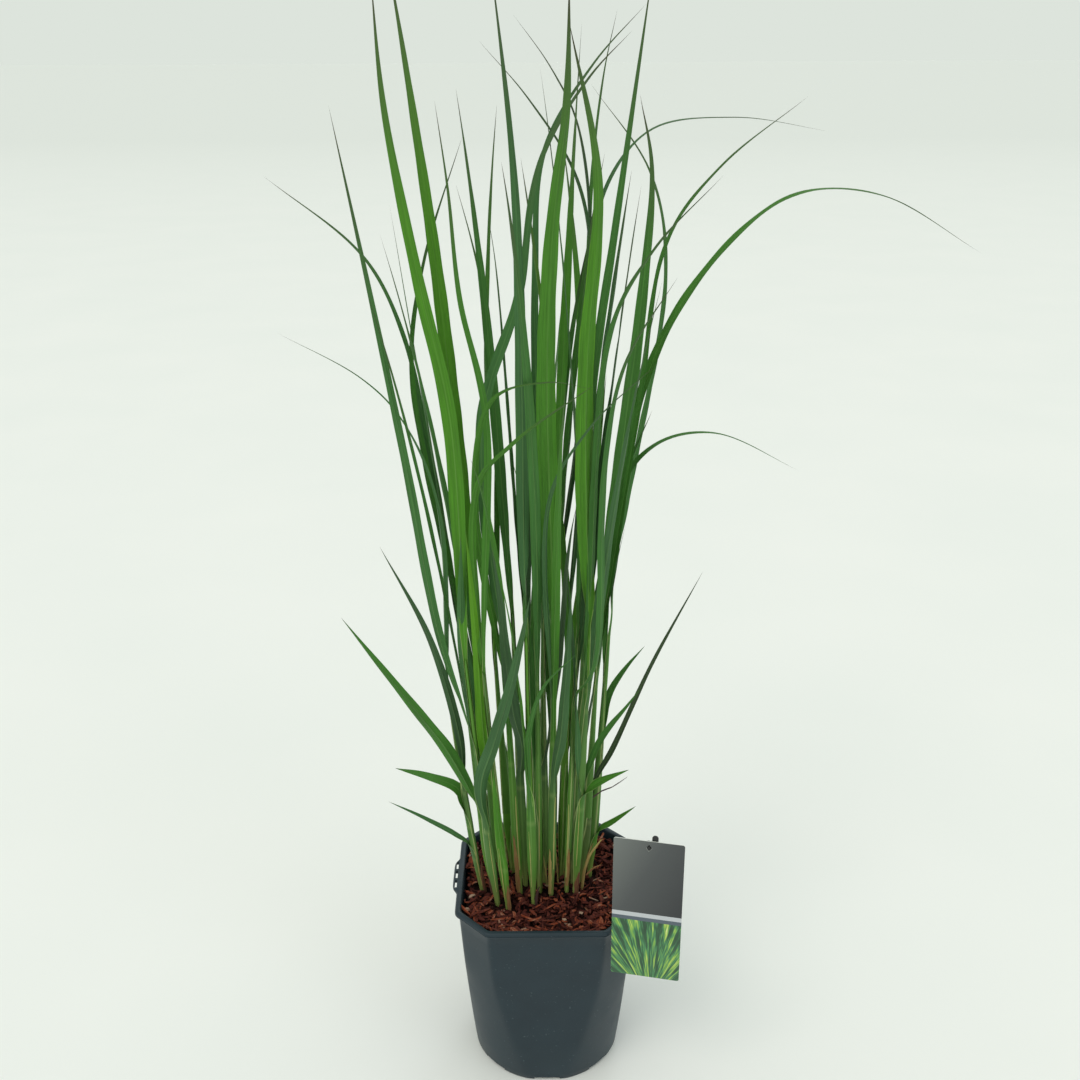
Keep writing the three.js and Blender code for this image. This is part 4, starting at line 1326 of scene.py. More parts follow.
@dataclass(frozen=True)
class CardPrint(Finish):
    """Printed and laminated card: glossy, with a grey field above and a fan of green leaves below a
    pale stripe. It carries no words and no mark."""

    name: str = "laminated_card_print"
    greys: Stops = ((0.0, "#6e7270"), (0.45, "#4b4e50"), (1.0, "#2a2c31"))
    leaves: Stops = (
        (0.0, "#22332c"),
        (0.4, "#2f5a3a"),
        (0.55, "#4a8a5a"),
        (0.66, "#7fb04a"),
        (0.8, "#b9d060"),
        (1.0, "#dfe8a8"),
    )
    stripe: str = "#c3c6cc"
    line: str = "#55606c"
    # How far below the top edge the stripe starts and ends and the line ends, in millimetres.
    depths: Triple = (77.5, 82.0, 86.0)
    # Where the printed leaves fan out from, below the card.
    fan: Pair = (5.0, -172.0)
    # How many leaves the fan has for each radian, and how slowly they change outwards.
    fan_leaves: float = 9.0
    fan_run: float = 0.012

    def build(self, place: Triple, yaw: float) -> Material:
        """Makes the material.

        Args:
            place: The middle of the card's top edge, in millimetres.
            yaw: The card's turn about the upright, in radians.

        Returns:
            The material, whose print lies on the card's own plane.
        """
        material, add, surface = self.start()
        world = add("TexCoord").outputs["Object"]
        own_frame = {"Location": Vector(place) * MM, "Rotation": (0.0, 0.0, yaw), "Scale": (MM, MM, MM)}
        own = add("Mapping", {"vector_type": "TEXTURE"}, Vector=world, **own_frame)
        parts = add("SeparateXYZ", Vector=own).outputs
        beside, height = parts["X"], parts["Z"]
        slant = add("Math", "MULTIPLY_ADD", in_0=height, in_1=-0.5, in_2=beside)
        slant = add("MapRange", Value=slant, From=(-30.0, 70.0))
        colour = add("ValToRGB", {"stops": self.greys}, Fac=slant).outputs["Color"]

        # Angle and distance from the fan's foot give leaves that spread upwards.
        across = add("Math", "SUBTRACT", in_0=beside, in_1=self.fan[0])
        up = add("Math", "SUBTRACT", in_0=height, in_1=self.fan[1])
        angle = add("Math", "ARCTAN2", in_0=across, in_1=up)
        turn = add("Math", "MULTIPLY", in_0=angle, in_1=self.fan_leaves)
        drift = add("Math", "MULTIPLY", in_0=up, in_1=self.fan_run)
        fan = add("CombineXYZ", X=turn, Y=drift)
        blades = add("TexNoise", Vector=fan, Scale=1.5, Detail=3.0, Roughness=0.75)
        spread = add("MapRange", Value=blades, From=(0.28, 0.72))
        picture = add("ValToRGB", {"stops": self.leaves}, Fac=spread).outputs["Color"]

        for depth, layer in zip(self.depths, (linear(self.stripe), linear(self.line), picture)):
            reached = add("Math", "LESS_THAN", in_0=height, in_1=-depth)
            colour = add("Mix", BLEND, in_0=reached, in_6=colour, in_7=layer)
        sheen = add("TexNoise", Vector=world, Scale=per_mm(30.0), Detail=1.0)
        relief = add("Bump", Strength=0.15, Distance=0.3 * MM, Height=sheen)
        surface(Base_Color=colour, Roughness=0.3, Normal=relief)
        return material


@dataclass(frozen=True)
class StudioFloor(Finish):
    """A pale matt floor with a very faint unevenness of tone, and painted shade that dulls it in the
    distance, where it meets the background without a line."""

    name: str = "pale_matt_floor"
    stops: Stops = ((0.3, "#eff0ef"), (0.7, "#f2f2f1"))
    # The tone of the painted shade in the distance.
    far: str = "#e1e3e1"
    cloud_size: float = 400.0
    # Where the painted shade starts to dull the floor and where it has the background's tone, in metres
    # behind the pot.
    shade_span: Pair = (0.2, 14.0)

    def build(self) -> Material:
        """Makes the material.

        Returns:
            The material.
        """
        material, add, surface = self.start()
        place = add("TexCoord").outputs["Object"]
        cloud = add("TexNoise", Vector=place, Scale=per_mm(self.cloud_size), Detail=2.0)
        colour = add("ValToRGB", {"stops": self.stops}, Fac=cloud).outputs["Color"]
        behind = add("SeparateXYZ", Vector=place).outputs["Y"]
        # Painted shade: the floor darkens with distance to the background's tone.
        distance_shade = add("MapRange", Value=behind, From=self.shade_span)
        colour = add("Mix", BLEND, in_0=distance_shade, in_6=colour, in_7=linear(self.far))
        surface(Base_Color=colour, Roughness=0.9, Specular_IOR_Level=0.1)
        return material


# ---------------------------------------------------------------- pot


def cut_away(piece: Piece, cutter: Piece) -> None:
    """Takes a cutter's shape out of a piece and deletes the cutter.

    Args:
        piece: The piece that is cut.
        cutter: The shape to take out.
    """
    modifier = piece.modifiers.new("cut", "BOOLEAN")
    modifier.operation = "DIFFERENCE"
    modifier.solver = "EXACT"
    modifier.object = cutter
    apply_modifiers(piece)
    bpy.data.objects.remove(cutter)


def copied(piece: Piece, places: list[Matrix]) -> Piece:
    """Copies a piece to each place, in metres, joins the copies and deletes the piece.

    Args:
        piece: The piece to copy.
        places: What moves each copy.

    Returns:
        The joined copies.
    """
    copies = [copy_at(piece, place) for place in places]
    bpy.data.objects.remove(piece)
    return joined(copies[0].name, copies)


@dataclass
class NurseryPot:
    """The eight-sided pot: a round cone cut by four wide flats and four corner flats, with a rolled
    rim, a slotted bow on either side, and notched feet with drains."""

    height: float = 190.0
    wall: float = 2.0
    floor: float = 5.0
    # Each face of the wall: its distance from the axis at the base, and how much that grows upwards.
    cone: Pair = (72.0, 0.16)
    side_flats: Pair = (70.5, 0.058)
    corner_flats: Pair = (81.0, 0.0757)
    edge_softness: float = 0.7
    rim_half: float = 85.0
    rim_corner: float = 98.64
    rim_height: float = 5.5
    # How softly the rim's faces meet, and what that takes off them.
    rim_softness: float = 0.9
    rim_loss: float = 0.1
    bracket_reach: float = 4.2
    bracket_half: float = 25.0
    bracket_run: float = 6.0
    bracket_height: float = 3.5
    bracket_softness: float = 1.2
    bracket_loss: float = 0.2
    # How far past its half width the bow reaches, and how softly it runs into the rim.
    bracket_end: float = 1.1
    bracket_blend: float = 0.5
    slot_out: float = 86.5
    slot_pitch: float = 13.8
    slot_size: Pair = (2.2, 11.0)
    feet: int = 8
    notch: Triple = (42.0, 25.0, 3.0)
    notch_middle: float = 61.0
    drain: float = 4.5
    drain_at: float = 54.0
    drain_sides: int = 24
    columns: int = 320
    # The least cosine that a face is met at.
    grazing: float = 0.1
    # How sharp an edge has to be, in degrees, to be shaded sharp.
    sharp: float = 32.0

    def facing(self, angle: Points) -> tuple[Points, Points]:
        """Gives how squarely each direction meets a wide flat and a corner flat.

        Args:
            angle: The directions from the axis, in radians.

        Returns:
            The cosine to the nearest wide flat, and to the nearest corner flat.
        """
        turned = angle - math.pi / 4
        side = np.maximum(np.abs(np.cos(angle)), np.abs(np.sin(angle)))
        return side, np.maximum(np.abs(np.cos(turned)), np.abs(np.sin(turned)))

    def wall_at(self, angle: Points, z: Points | float, inset: Points | float) -> Points:
        """Gives the wall's distance from the axis, its edges slightly rounded.

        Args:
            angle: The direction from the axis, in radians.
            z: The height.
            inset: How far the surface lies inside the outer one.

        Returns:
            The distance for each direction and height.
        """
        side, corner = self.facing(angle)
        faces = ((*self.cone, 1.0), (*self.side_flats, side), (*self.corner_flats, corner))
        reaches = ((foot + rise * z - inset) / squarely for foot, rise, squarely in faces)
        return softly_least(self.edge_softness, *reaches)

    def rim_at(self, angle: Points, inset: float) -> Points:
        """Gives the rim's distance from the axis.

        Args:
            angle: The directions from the axis, in radians.
            inset: How far the surface lies inside the outer one.

        Returns:
            The distance in each direction.
        """
        side, corner = self.facing(angle)
        flats = ((self.rim_half - inset) / side, (self.rim_corner - inset) / corner)
        return softly_least(self.rim_softness, *flats) + self.rim_loss

    def bracket_at(self, angle: Points, inset: float) -> Points:
        """Gives the rim's distance from the axis with the slotted brackets on its left and right.

        Args:
            angle: The directions from the axis, in radians.
            inset: How far the surface lies inside the outer one.

        Returns:
            The distance in each direction.
        """
        cosine, sine = np.abs(np.cos(angle)), np.abs(np.sin(angle))
        run, reach = self.bracket_run, self.bracket_reach
        slant = math.hypot(run, reach)
        end = (run * self.rim_half + reach * self.bracket_half) / slant - inset
        outer = (self.rim_half + reach - inset) / np.maximum(cosine, self.grazing)
        sloping = end * slant / (run * cosine + reach * sine)
        bow = softly_least(self.bracket_softness, outer, sloping) + self.bracket_loss
        bow = np.where(sine * self.rim_half < cosine * self.bracket_half * self.bracket_end, bow, 0.0)
        rim, blend = self.rim_at(angle, inset), self.bracket_blend
        return np.logaddexp(rim / blend, bow / blend) * blend

    def shell(self) -> Piece:
        """Lofts the whole shell: underside, outer wall, rolled rim, inner wall and inner floor.

        Returns:
            The shell, without slots, notches or drains.
        """
        angle = np.linspace(0.0, math.tau, self.columns + 1)
        # The profile is a table of insets and heights, each height counted from one of these.
        top, wall, floor = self.height, self.wall, self.floor
        rim_foot, strap = top - self.rim_height, top - self.bracket_height

        def wall_rings(*rings: Pair, share: float = 1.0) -> list[Points]:
            """Gives rings on the wall's form, by inset and height, drawn in to a share of its size."""
            return [around(angle, share * self.wall_at(angle, z, inset), z) for inset, z in rings]

        under, inner = (1.6, 0.0), (wall + 4.0, floor)
        rim = ((1.6, rim_foot), (0.7, rim_foot + 0.2), (0.2, rim_foot + 0.8), (0.0, rim_foot + 1.8))
        lip = ((0.5, strap), (0.0, strap + 0.5), (0.0, top - 1.9), (0.3, top - 1.2), (0.9, top - 0.4))
        rings = [
            *(wall_rings(under, share=share)[0] for share in (0.0, 0.3, 0.6, 0.85)),
            *wall_rings(under, (0.5, 0.4), (0.0, 1.4)),
            *wall_rings(*((0.0, float(z)) for z in np.linspace(8.0, rim_foot - 1.2, 16))),
            *wall_rings((-0.3, rim_foot - 0.4), (-1.0, rim_foot)),
            *(around(angle, self.rim_at(angle, inset), z) for inset, z in (*rim, (0.0, strap))),
            *(around(angle, self.bracket_at(angle, inset), z) for inset, z in (*lip, (1.6, top))),
            *wall_rings((-0.4, top), (wall - 0.8, top - 0.3), (wall - 0.1, top - 1.2), (wall, top - 3.0)),
            *wall_rings(*((wall, float(z)) for z in np.linspace(top - 12.0, floor + 6.0, 12))),
            *wall_rings((wall + 0.4, floor + 2.4), (wall + 2.0, floor + 0.5), inner),
            *(wall_rings(inner, share=share)[0] for share in (0.8, 0.5, 0.25, 0.0)),
        ]
        return sheet_of("nursery_pot", np.array(rings))

    def build(self, finish: Material) -> Piece:
        """Makes the pot and cuts its slots, notches and drains.

        Args:
            finish: The finish that it gets.

        Returns:
            The pot.
        """
        pot = self.shell()
        places = [
            Matrix.Translation(Vector((side * self.slot_out, step * self.slot_pitch, self.height)) * MM)
            for side in (-1, 1)
            for step in (-1, 0, 1)
        ]
        cut_away(pot, copied(block((*self.slot_size, 3 * self.rim_height)), places))
        turns = [Matrix.Rotation(math.tau * foot / self.feet, 4, "Z") for foot in range(self.feet)]
        notch = block((self.notch[0], self.notch[1], 2 * self.notch[2]))
        out = Matrix.Translation((self.notch_middle * MM, 0.0, 0.0))
        cut_away(pot, copied(notch, [turn @ out for turn in turns]))
        bpy.ops.mesh.primitive_cylinder_add(
            vertices=self.drain_sides, radius=self.drain * MM, depth=4 * self.floor * MM
        )
        out = Matrix.Translation((self.drain_at * MM, 0.0, 0.0))
        cut_away(pot, copied(bpy.context.object, [turn @ out for turn in turns]))
        smooth(pot, self.sharp)
        dress(pot, finish)
        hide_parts("pot")
        return pot


# ---------------------------------------------------------------- bark


@dataclass
class BarkMulch:
    """Shredded bark over the soil: a bed, near-black with painted shade, with hundreds of chips strewn on
    it.
    """

    pot: NurseryPot
    roots: list[Pair]
    bottom: float = 170.3
    bed_top: float = 172.6
    bed_swell: float = 1.2
    # The bed's tone is painted shade: the gaps between the chips are drawn near-black.
    bed_shade_tone: float = 0.1
    bed_gap: float = 0.4
    bed_columns: int = 96
    bed_rings: int = 26
    chips: int = 1700
    # The heights that the chips lie between, away from the wall.
    lie: Pair = (172.6, 178.2)
    # The mulch is heaped up against the wall: how much, and between which distances from the axis.
    heap: float = 8.0
    heap_from: Pair = (60.0, 80.0)
    # Painted light: chips that lie high against the wall are this much paler on the scale of tones,
    # as though the heap there stood clear of the rim's shadow.
    wall_painted_light: float = 0.2
    # Tones from the darkest chip to the palest, the painted shade that darkens a chip the lower it lies
    # among the others, and the few pale splinters: which draws make one, and how much paler it is.
    tones: Pair = (0.1, 0.92)
    low_chip_shade: Pair = (0.75, 1.0)
    splinter: Pair = (0.975, 0.2)
    palest: float = 1.12
    edge: float = 1.5
    overlap: float = 1.0
    root_gap: float = 4.6
    variants: int = 14
    chip_length: Pair = (4.0, 14.0)
    chip_width: Pair = (1.3, 4.2)
    chip_thickness: Pair = (0.8, 2.2)
    chip_ends: Pair = (0.35, 1.0)
    # Most chips are short and thin: the powers that their random lengths and widths are raised to.
    chip_odds: Pair = (1.7, 1.2)
    # How far a chip may bow up, twist and be skewed, how it narrows, and how flat its corners are.
    chip_bends: Triple = (0.8, 0.35, 0.8)
    chip_narrows: float = 1.5
    chip_corners: float = 0.35
    ragged: Triple = (0.5, 0.32, 0.22)
    # How much the chips' sizes differ, and how far they are pitched and rolled, in radians.
    chip_vary: float = 0.3
    pitch: float = 0.22
    roll: float = 0.5
    sharp: float = 40.0
    seed: int = 612

    def rise(self, distance: Points | float) -> Points | float:
        """Gives how much higher the mulch lies at a distance from the axis than in the middle."""
        start, end = self.heap_from
        return self.heap * np.clip((distance - start) / (end - start), 0.0, 1.0)

    def bed(self) -> Piece:
        """Makes the closed layer that shows between the chips, near-black as painted shade in the gaps.

        Returns:
            The bed.
        """
        draws = Draws(self.seed)
        columns, rings = self.bed_columns, self.bed_rings
        angle = np.linspace(0.0, math.tau, columns + 1)
        edge = self.pot.wall_at(angle, self.bottom, self.pot.wall + self.bed_gap)
        shares = np.concatenate([[0.0, 0.5], np.linspace(1.0, 0.0, rings)])
        points = around(angle, shares[:, None] * edge, self.bottom)
        swell = np.array([[draws.swing(self.bed_swell) for _ in range(columns)] for _ in range(rings - 1)])
        swell[-1] = swell[-1, 0]
        distance = np.hypot(points[3:, :columns, 0], points[3:, :columns, 1])
        points[3:, :columns, 2] = self.bed_top + self.rise(distance) + swell
        points[3:, columns] = points[3:, 0]
        piece = sheet_of("bark_bed", points, tone=self.bed_shade_tone)
        write_attribute(piece, "grain", vertices_of(piece) / MM)
        return piece

    def chip(self, draws: Draws) -> Piece:
        """Shapes one kind of chip: a split shred, narrower and ragged at its ends.

        Args:
            draws: Where its random numbers come from.

        Returns:
            The chip, at the origin.
        """
        length = mix(*self.chip_length, draws.share() ** self.chip_odds[0])
        width = mix(*self.chip_width, draws.share() ** self.chip_odds[1])
        thickness = mix(*self.chip_thickness, draws.share())
        bpy.ops.mesh.primitive_cube_add(size=1.0)
        piece = bpy.context.object
        with editing():
            bpy.ops.mesh.subdivide(number_cuts=2)
        bow, twist, skew = (draws.swing(reach) for reach in self.chip_bends)
        ends = [mix(*self.chip_ends, draws.share()) for _ in range(2)]
        own = []
        for vertex in piece.data.vertices:
            x, y, z = (2 * value for value in vertex.co)
            narrow = mix(1.0, ends[x > 0], abs(x) ** self.chip_narrows)
            flat = 1.0 - self.chip_corners * abs(y) * abs(z)
            torn = [draws.swing(reach) for reach in self.ragged]
            place = Vector(
                (
                    (x * length + y * skew * abs(x)) / 2 + torn[0],
                    (y * width * narrow * flat) / 2 + torn[1],
                    (z * thickness * flat) / 2 + bow * x * x + torn[2],
                )
            )
            place.rotate(Matrix.Rotation(twist * x, 3, "X"))
            own.append(place)
            vertex.co = place * MM
        write_attribute(piece, "grain", np.array(own))
        return piece

    def free(self, place: Vector, half: Vector) -> bool:
        """Says whether a chip at a place, with this half length along it, is clear of the stems.

        Args:
            place: The chip's middle.
            half: Half its length, as a vector along it.

        Returns:
            Whether it is clear.
        """
        for x, y in self.roots:
            off = Vector((x, y, 0.0)) - place
            along = max(-1.0, min(1.0, off.dot(half) / half.length_squared))
            if (off - half * along).length < self.root_gap:
                return False
        return True

    def strewn(self) -> Piece:
        """Strews copies of the chips over the bed, with painted shade that makes the lowest ones darkest.

        Returns:
            All the chips as one object.
        """
        draws = Draws(self.seed + 1)
        kinds = [self.chip(draws) for _ in range(self.variants)]
        reach = self.pot.height / 2
        chips = []
        while len(chips) < self.chips:
            place = Vector((draws.swing(reach), draws.swing(reach), 0.0))
            angle = np.array([math.atan2(place.y, place.x)])
            kind = kinds[int(draws.share() * len(kinds)) % len(kinds)]
            yaw = math.pi * draws.swing(1.0)
            size = draws.vary(self.chip_vary)
            half = Vector((math.cos(yaw), math.sin(yaw), 0.0)) * kind.dimensions.x / MM * size / 2
            lift = draws.share()
            pitch, roll, tone = draws.swing(self.pitch), draws.swing(self.roll), draws.share()
            outer = float(self.pot.wall_at(angle, self.bed_top, self.pot.wall + self.edge)[0])
            tips = max((place + half).length, (place - half).length)
            if place.length > outer or tips > outer + self.overlap or not self.free(place, half):
                continue
            rise = float(self.rise(place.length))
            place.z = mix(*self.lie, lift) + rise
            turn = Matrix.Rotation(yaw, 4, "Z") @ Matrix.Rotation(pitch, 4, "Y")
            turn = turn @ Matrix.Rotation(roll, 4, "X")
            chip = copy_at(kind, Matrix.Translation(place * MM) @ turn @ Matrix.Scale(size, 4))
            # Painted shade: a chip is darker the lower it lies among the others.
            bright = mix(*self.tones, tone) * mix(*self.low_chip_shade, lift)
            bright += self.splinter[1] if tone > self.splinter[0] else 0.0
            # Painted light: chips heaped high against the wall are drawn paler.
            bright = min(bright + self.wall_painted_light * (1.0 - tone) * rise / self.heap, self.palest)
            write_attribute(chip, "tone", np.full(len(chip.data.vertices), bright))
            chips.append(chip)
        for kind in kinds:
            bpy.data.objects.remove(kind)
        return joined("bark_chips", chips)

    def build(self, finish: Material) -> list[Piece]:
        """Makes the bed and the chips.

        Args:
            finish: The finish that it gets.

        Returns:
            The bed and the chips.
        """
        pieces = [self.bed(), self.strewn()]
        for piece in pieces:
            smooth(piece, self.sharp)
            dress(piece, finish)
        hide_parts("bark_mulch")
        return pieces


# ---------------------------------------------------------------- card and stake

# Turns what faces up to face the front.
UPRIGHT = Matrix.Rotation(math.pi / 2, 4, "X")


@dataclass
class PlantCard:
    """The blank plant card, hung by a diamond slot; its own frame starts at the middle of its top
    edge and it faces the front."""

    width: float = 62.0
    height: float = 148.0
    thickness: float = 0.9
    corner: float = 2.0
    softness: float = 0.12
    yaw: float = -12.0
    place: Triple = (89.0, -93.0, 297.0)
    slot_drop: float = 7.0
    slot_half: Pair = (2.4, 3.4)
    # How squarely a face has to look forwards to be printed.
    printed: float = 0.9
    sharp: float = 25.0

    def frame(self) -> Matrix:
        """Gives the card's own frame, in metres."""
        return Matrix.Translation(Vector(self.place) * MM) @ Matrix.Rotation(math.radians(self.yaw), 4, "Z")

    def diamond(self, half: Pair, front: float, back: float) -> Piece:
        """Adds an upright diamond prism at the slot's place, from one depth to another.

        Args:
            half: Half its width and half its height.
            front: The depth that it starts at.
            back: The depth that it ends at.

        Returns:
            The prism.
        """
        bpy.ops.mesh.primitive_cylinder_add(vertices=4, radius=MM, depth=(back - front) * MM)
        piece = bpy.context.object
        place = Matrix.Translation(Vector((0.0, (front + back) / 2, -self.slot_drop)) * MM)
        piece.data.transform(place @ UPRIGHT @ Matrix.Diagonal((*half, 1.0, 1.0)))
        return piece

    def build(self, print_finish: Material, board: Material) -> Piece:
        """Makes the card with its print in front and bare board behind and on its edges.

        Args:
            print_finish: The finish of its front.
            board: The finish of its back and its edges.

        Returns:
            The card.
        """
        bpy.ops.mesh.primitive_plane_add(size=1.0)
        card = bpy.context.object
        card.name = card.data.name = "plant_card"
        front = Matrix.Translation(Vector((0.0, -self.thickness, -self.height / 2)) * MM)
        size = Matrix.Diagonal((self.width * MM, self.height * MM, 1.0, 1.0))
        card.data.transform(front @ UPRIGHT @ size)
        with editing():
            bpy.ops.mesh.bevel(offset=self.corner * MM, segments=6, affect="VERTICES")
        card.modifiers.new("board", "SOLIDIFY").thickness = self.thickness * MM
        cut_away(card, self.diamond(self.slot_half, -3 * self.thickness, 3 * self.thickness))
        rounded(card, self.softness, 2)
        dress(card, board, print_finish)
        for face in card.data.polygons:
            face.material_index = int(face.normal.y < -self.printed)
        card.data.transform(self.frame())
        smooth(card, self.sharp)
        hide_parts("label_card")
        return card


@dataclass
class CardStake:
    """The flat stake that leans out of the soil to a head behind the card, with a peg in its slot."""

    card: PlantCard
    root: Triple = (48.0, -12.5, 140.0)
    shoulder: Triple = (91.5, -90.4, 279.5)
    width: float = 5.0
    thickness: float = 2.4
    head_right: float = 7.8
    head_width: float = 10.0
    head_top: float = -1.5
    head_drop: float = 24.0
    knob_width: float = 5.6
    knob_rise: float = 4.6
    clearance: float = 0.35
    peg_clearance: float = 0.525
    peg_proud: float = 0.5
    rounding: float = 0.5
    knob_rounding: float = 0.9
    knob_sides: int = 32
    peg_rounding: float = 0.3
    sharp: float = 35.0

    def bar(self, size: Triple, place: Matrix) -> Piece:
        """Adds a bar of this size in millimetres, with rounded edges, at a place.

        Args:
            size: Its extent along X, Y and Z.
            place: What moves it to its place.

        Returns:
            The bar.
        """
        piece = block(size)
        rounded(piece, self.rounding, 3)
        piece.data.transform(place)
        return piece

    def knob(self, depth: float) -> Piece:
        """Adds the round knob on top of the head, which shows above the card.

        Args:
            depth: How far its middle lies behind the card's back.

        Returns:
            The knob.
        """
        half = self.knob_width / 2
        size = {"vertices": self.knob_sides, "radius": half * MM, "depth": self.thickness * MM}
        bpy.ops.mesh.primitive_cylinder_add(**size)
        piece = bpy.context.object
        piece.data.transform(UPRIGHT)
        for vertex in piece.data.vertices:
            if vertex.co.z < 0.0:
                vertex.co.z -= (self.knob_rise - half - self.head_top - half / 2) * MM
        rounded(piece, self.knob_rounding, 3)
        place = Vector((self.head_right - half, depth, self.knob_rise - half)) * MM
        piece.data.transform(self.card.frame() @ Matrix.Translation(place))
        return piece

    def build(self, finish: Material) -> Piece:
        """Makes the shaft, the head and the peg as one piece.

        Args:
            finish: The finish that it gets.

        Returns:
            The stake.
        """
        root, shoulder = Vector(self.root), Vector(self.shoulder)
        line = shoulder - root
        turn = Vector((0.0, 0.0, 1.0)).rotation_difference(line).to_matrix().to_4x4()
        middle = Matrix.Translation((root + shoulder) / 2 * MM)
        shaft = self.bar((self.width, self.thickness, line.length), middle @ turn)
        depth = self.clearance + self.thickness / 2
        middle = (self.head_right - self.head_width / 2, depth, (self.head_top - self.head_drop) / 2)
        place = self.card.frame() @ Matrix.Translation(Vector(middle) * MM)
        head = self.bar((self.head_width, self.thickness, self.head_top + self.head_drop), place)
        knob = self.knob(depth)
        half = tuple(value - self.peg_clearance for value in self.card.slot_half)
        front, back = -self.card.thickness - self.peg_proud, self.clearance + self.thickness / 4
        peg = self.card.diamond(half, front, back)
        rounded(peg, self.peg_rounding, 2)
        peg.data.transform(self.card.frame())
        stake = joined("card_stake", [shaft, head, knob, peg])
        smooth(stake, self.sharp)
        dress(stake, finish)
        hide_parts("label_stake")
        return stake


# ---------------------------------------------------------------- leaves


@dataclass(frozen=True)
class LeafForm:
    """The fine form that all the leaves share, in millimetres."""

    # How long a sheath is at most, the steps that a leaf is drawn in along its sheath, where it
    # opens, on its blade and at its tip, and how far from its collar it opens and is open.
    longest_sheath: float = 160.0
    sheath_step: float = 12.0
    opening_step: float = 3.5
    opens_below: float = 34.0
    opened: float = 34.0
    step: float = 6.0
    tip: float = 24.0
    tip_step: float = 2.6
    line_step: float = 10.0
    # A leaf leaves its stem towards these shares of its length, and the second counts less.
    leaves_towards: Pair = (0.2, 0.45)
    far_counts: float = 0.3
    # How far a leaf's edges reach round its shoot: on the sheath, from the tightest leaf to the
    # loosest, at its collar, and where the blade has opened.
    wrap: Pair = (math.radians(112), math.radians(158))
    wrap_at_collar: float = math.radians(105)
    wrap_opened: float = math.radians(50)
    sheath_out: float = 0.15
    margin_lift: float = 0.35
    margin_curl: int = 8
    # Over which heights one sheath comes to lie over another, from the outer one's foot and collar.
    foot_over: Pair = (-8.0, 4.0)
    collar_over: float = 10.0
    pinched: float = 0.56
    pinch_end: float = 48.0
    swollen: Pair = (0.0, 0.34)
    swell_heights: Triple = (8.0, 60.0, 190.0)
    layer: float = 0.36
    thickness: float = 0.42
    # The half width below which a leaf is thinner.
    thin_below: float = 1.2
    rib: float = 0.75
    rib_width: float = 0.1
    keel_softness: float = 0.14
    rib_at_tip: float = 0.25
    rib_start: float = 20.0
    # The edges' ripple: its height at a half width, the most that it grows to beyond that, its
    # length and how much that differs, where it starts, and how far one side is behind the other.
    wave: float = 0.35
    wave_half: float = 4.0
    wave_most: float = 1.5
    wave_length: float = 62.0
    wave_vary: float = 0.25
    wave_start: Pair = (20.0, 90.0)
    wave_lag: float = 1.9
    # How far outside its own stem a blade is held, at least and at most; up to how far above the
    # stem's top; and over which share of its length it is let go.
    held: Pair = (0.6, 4.0)
    held_above: float = 45.0
    let_go: Pair = (0.3, 0.5)
    # How far a shoot may turn from facing the front, in radians, and how wide and deep it is.
    facing: float = 0.6
    widest: Pair = (1.15, 1.42)
    deepest: Pair = (0.9, 0.74)
    turn_share: float = 0.16
    turn_reach: Pair = (45.0, 110.0)
    # The places across a leaf that it is drawn at, from its midrib to its edge.
    columns: tuple[float, ...] = (0.0, 0.1, 0.24, 0.44, 0.66, 0.86, 1.0)
    sunk: float = 5.0
    culm_sides: int = 16
    culm_step: float = 9.0
    # How far below the top its even rows end, and where its point starts.
    culm_end: float = 10.0
    culm_point: float = 8.0
    # How many layers it lies inside the innermost sheath, and its least radius.
    culm_under: float = 0.6
    culm_thinnest: float = 0.6
    culm_rings: int = 6
    # Where the culm lies on the scales of age and of what is across a leaf.
    culm_age: float = 0.4
    culm_across: float = 0.5
    # How far below its collar the culm's colour is that of a sheath.
    culm_below: float = 20.0
    # Its place on the scale of greens: the middle one, how far a shoot and a leaf may be from it,
    # and how much greyer the underside is.
    green: float = 0.47
    shoot_swing: float = 0.26
    leaf_swing: float = 0.17
    underside: float = 0.1
    # The age of a leaf, which rises with the height of its tip, and how much it differs.
    age: Pair = (0.15, 0.75)
    aged_by: Pair = (520.0, 820.0)
    age_swing: float = 0.12
    # How sharp an edge has to be, in degrees, to be shaded sharp.
    sharp: float = 50.0


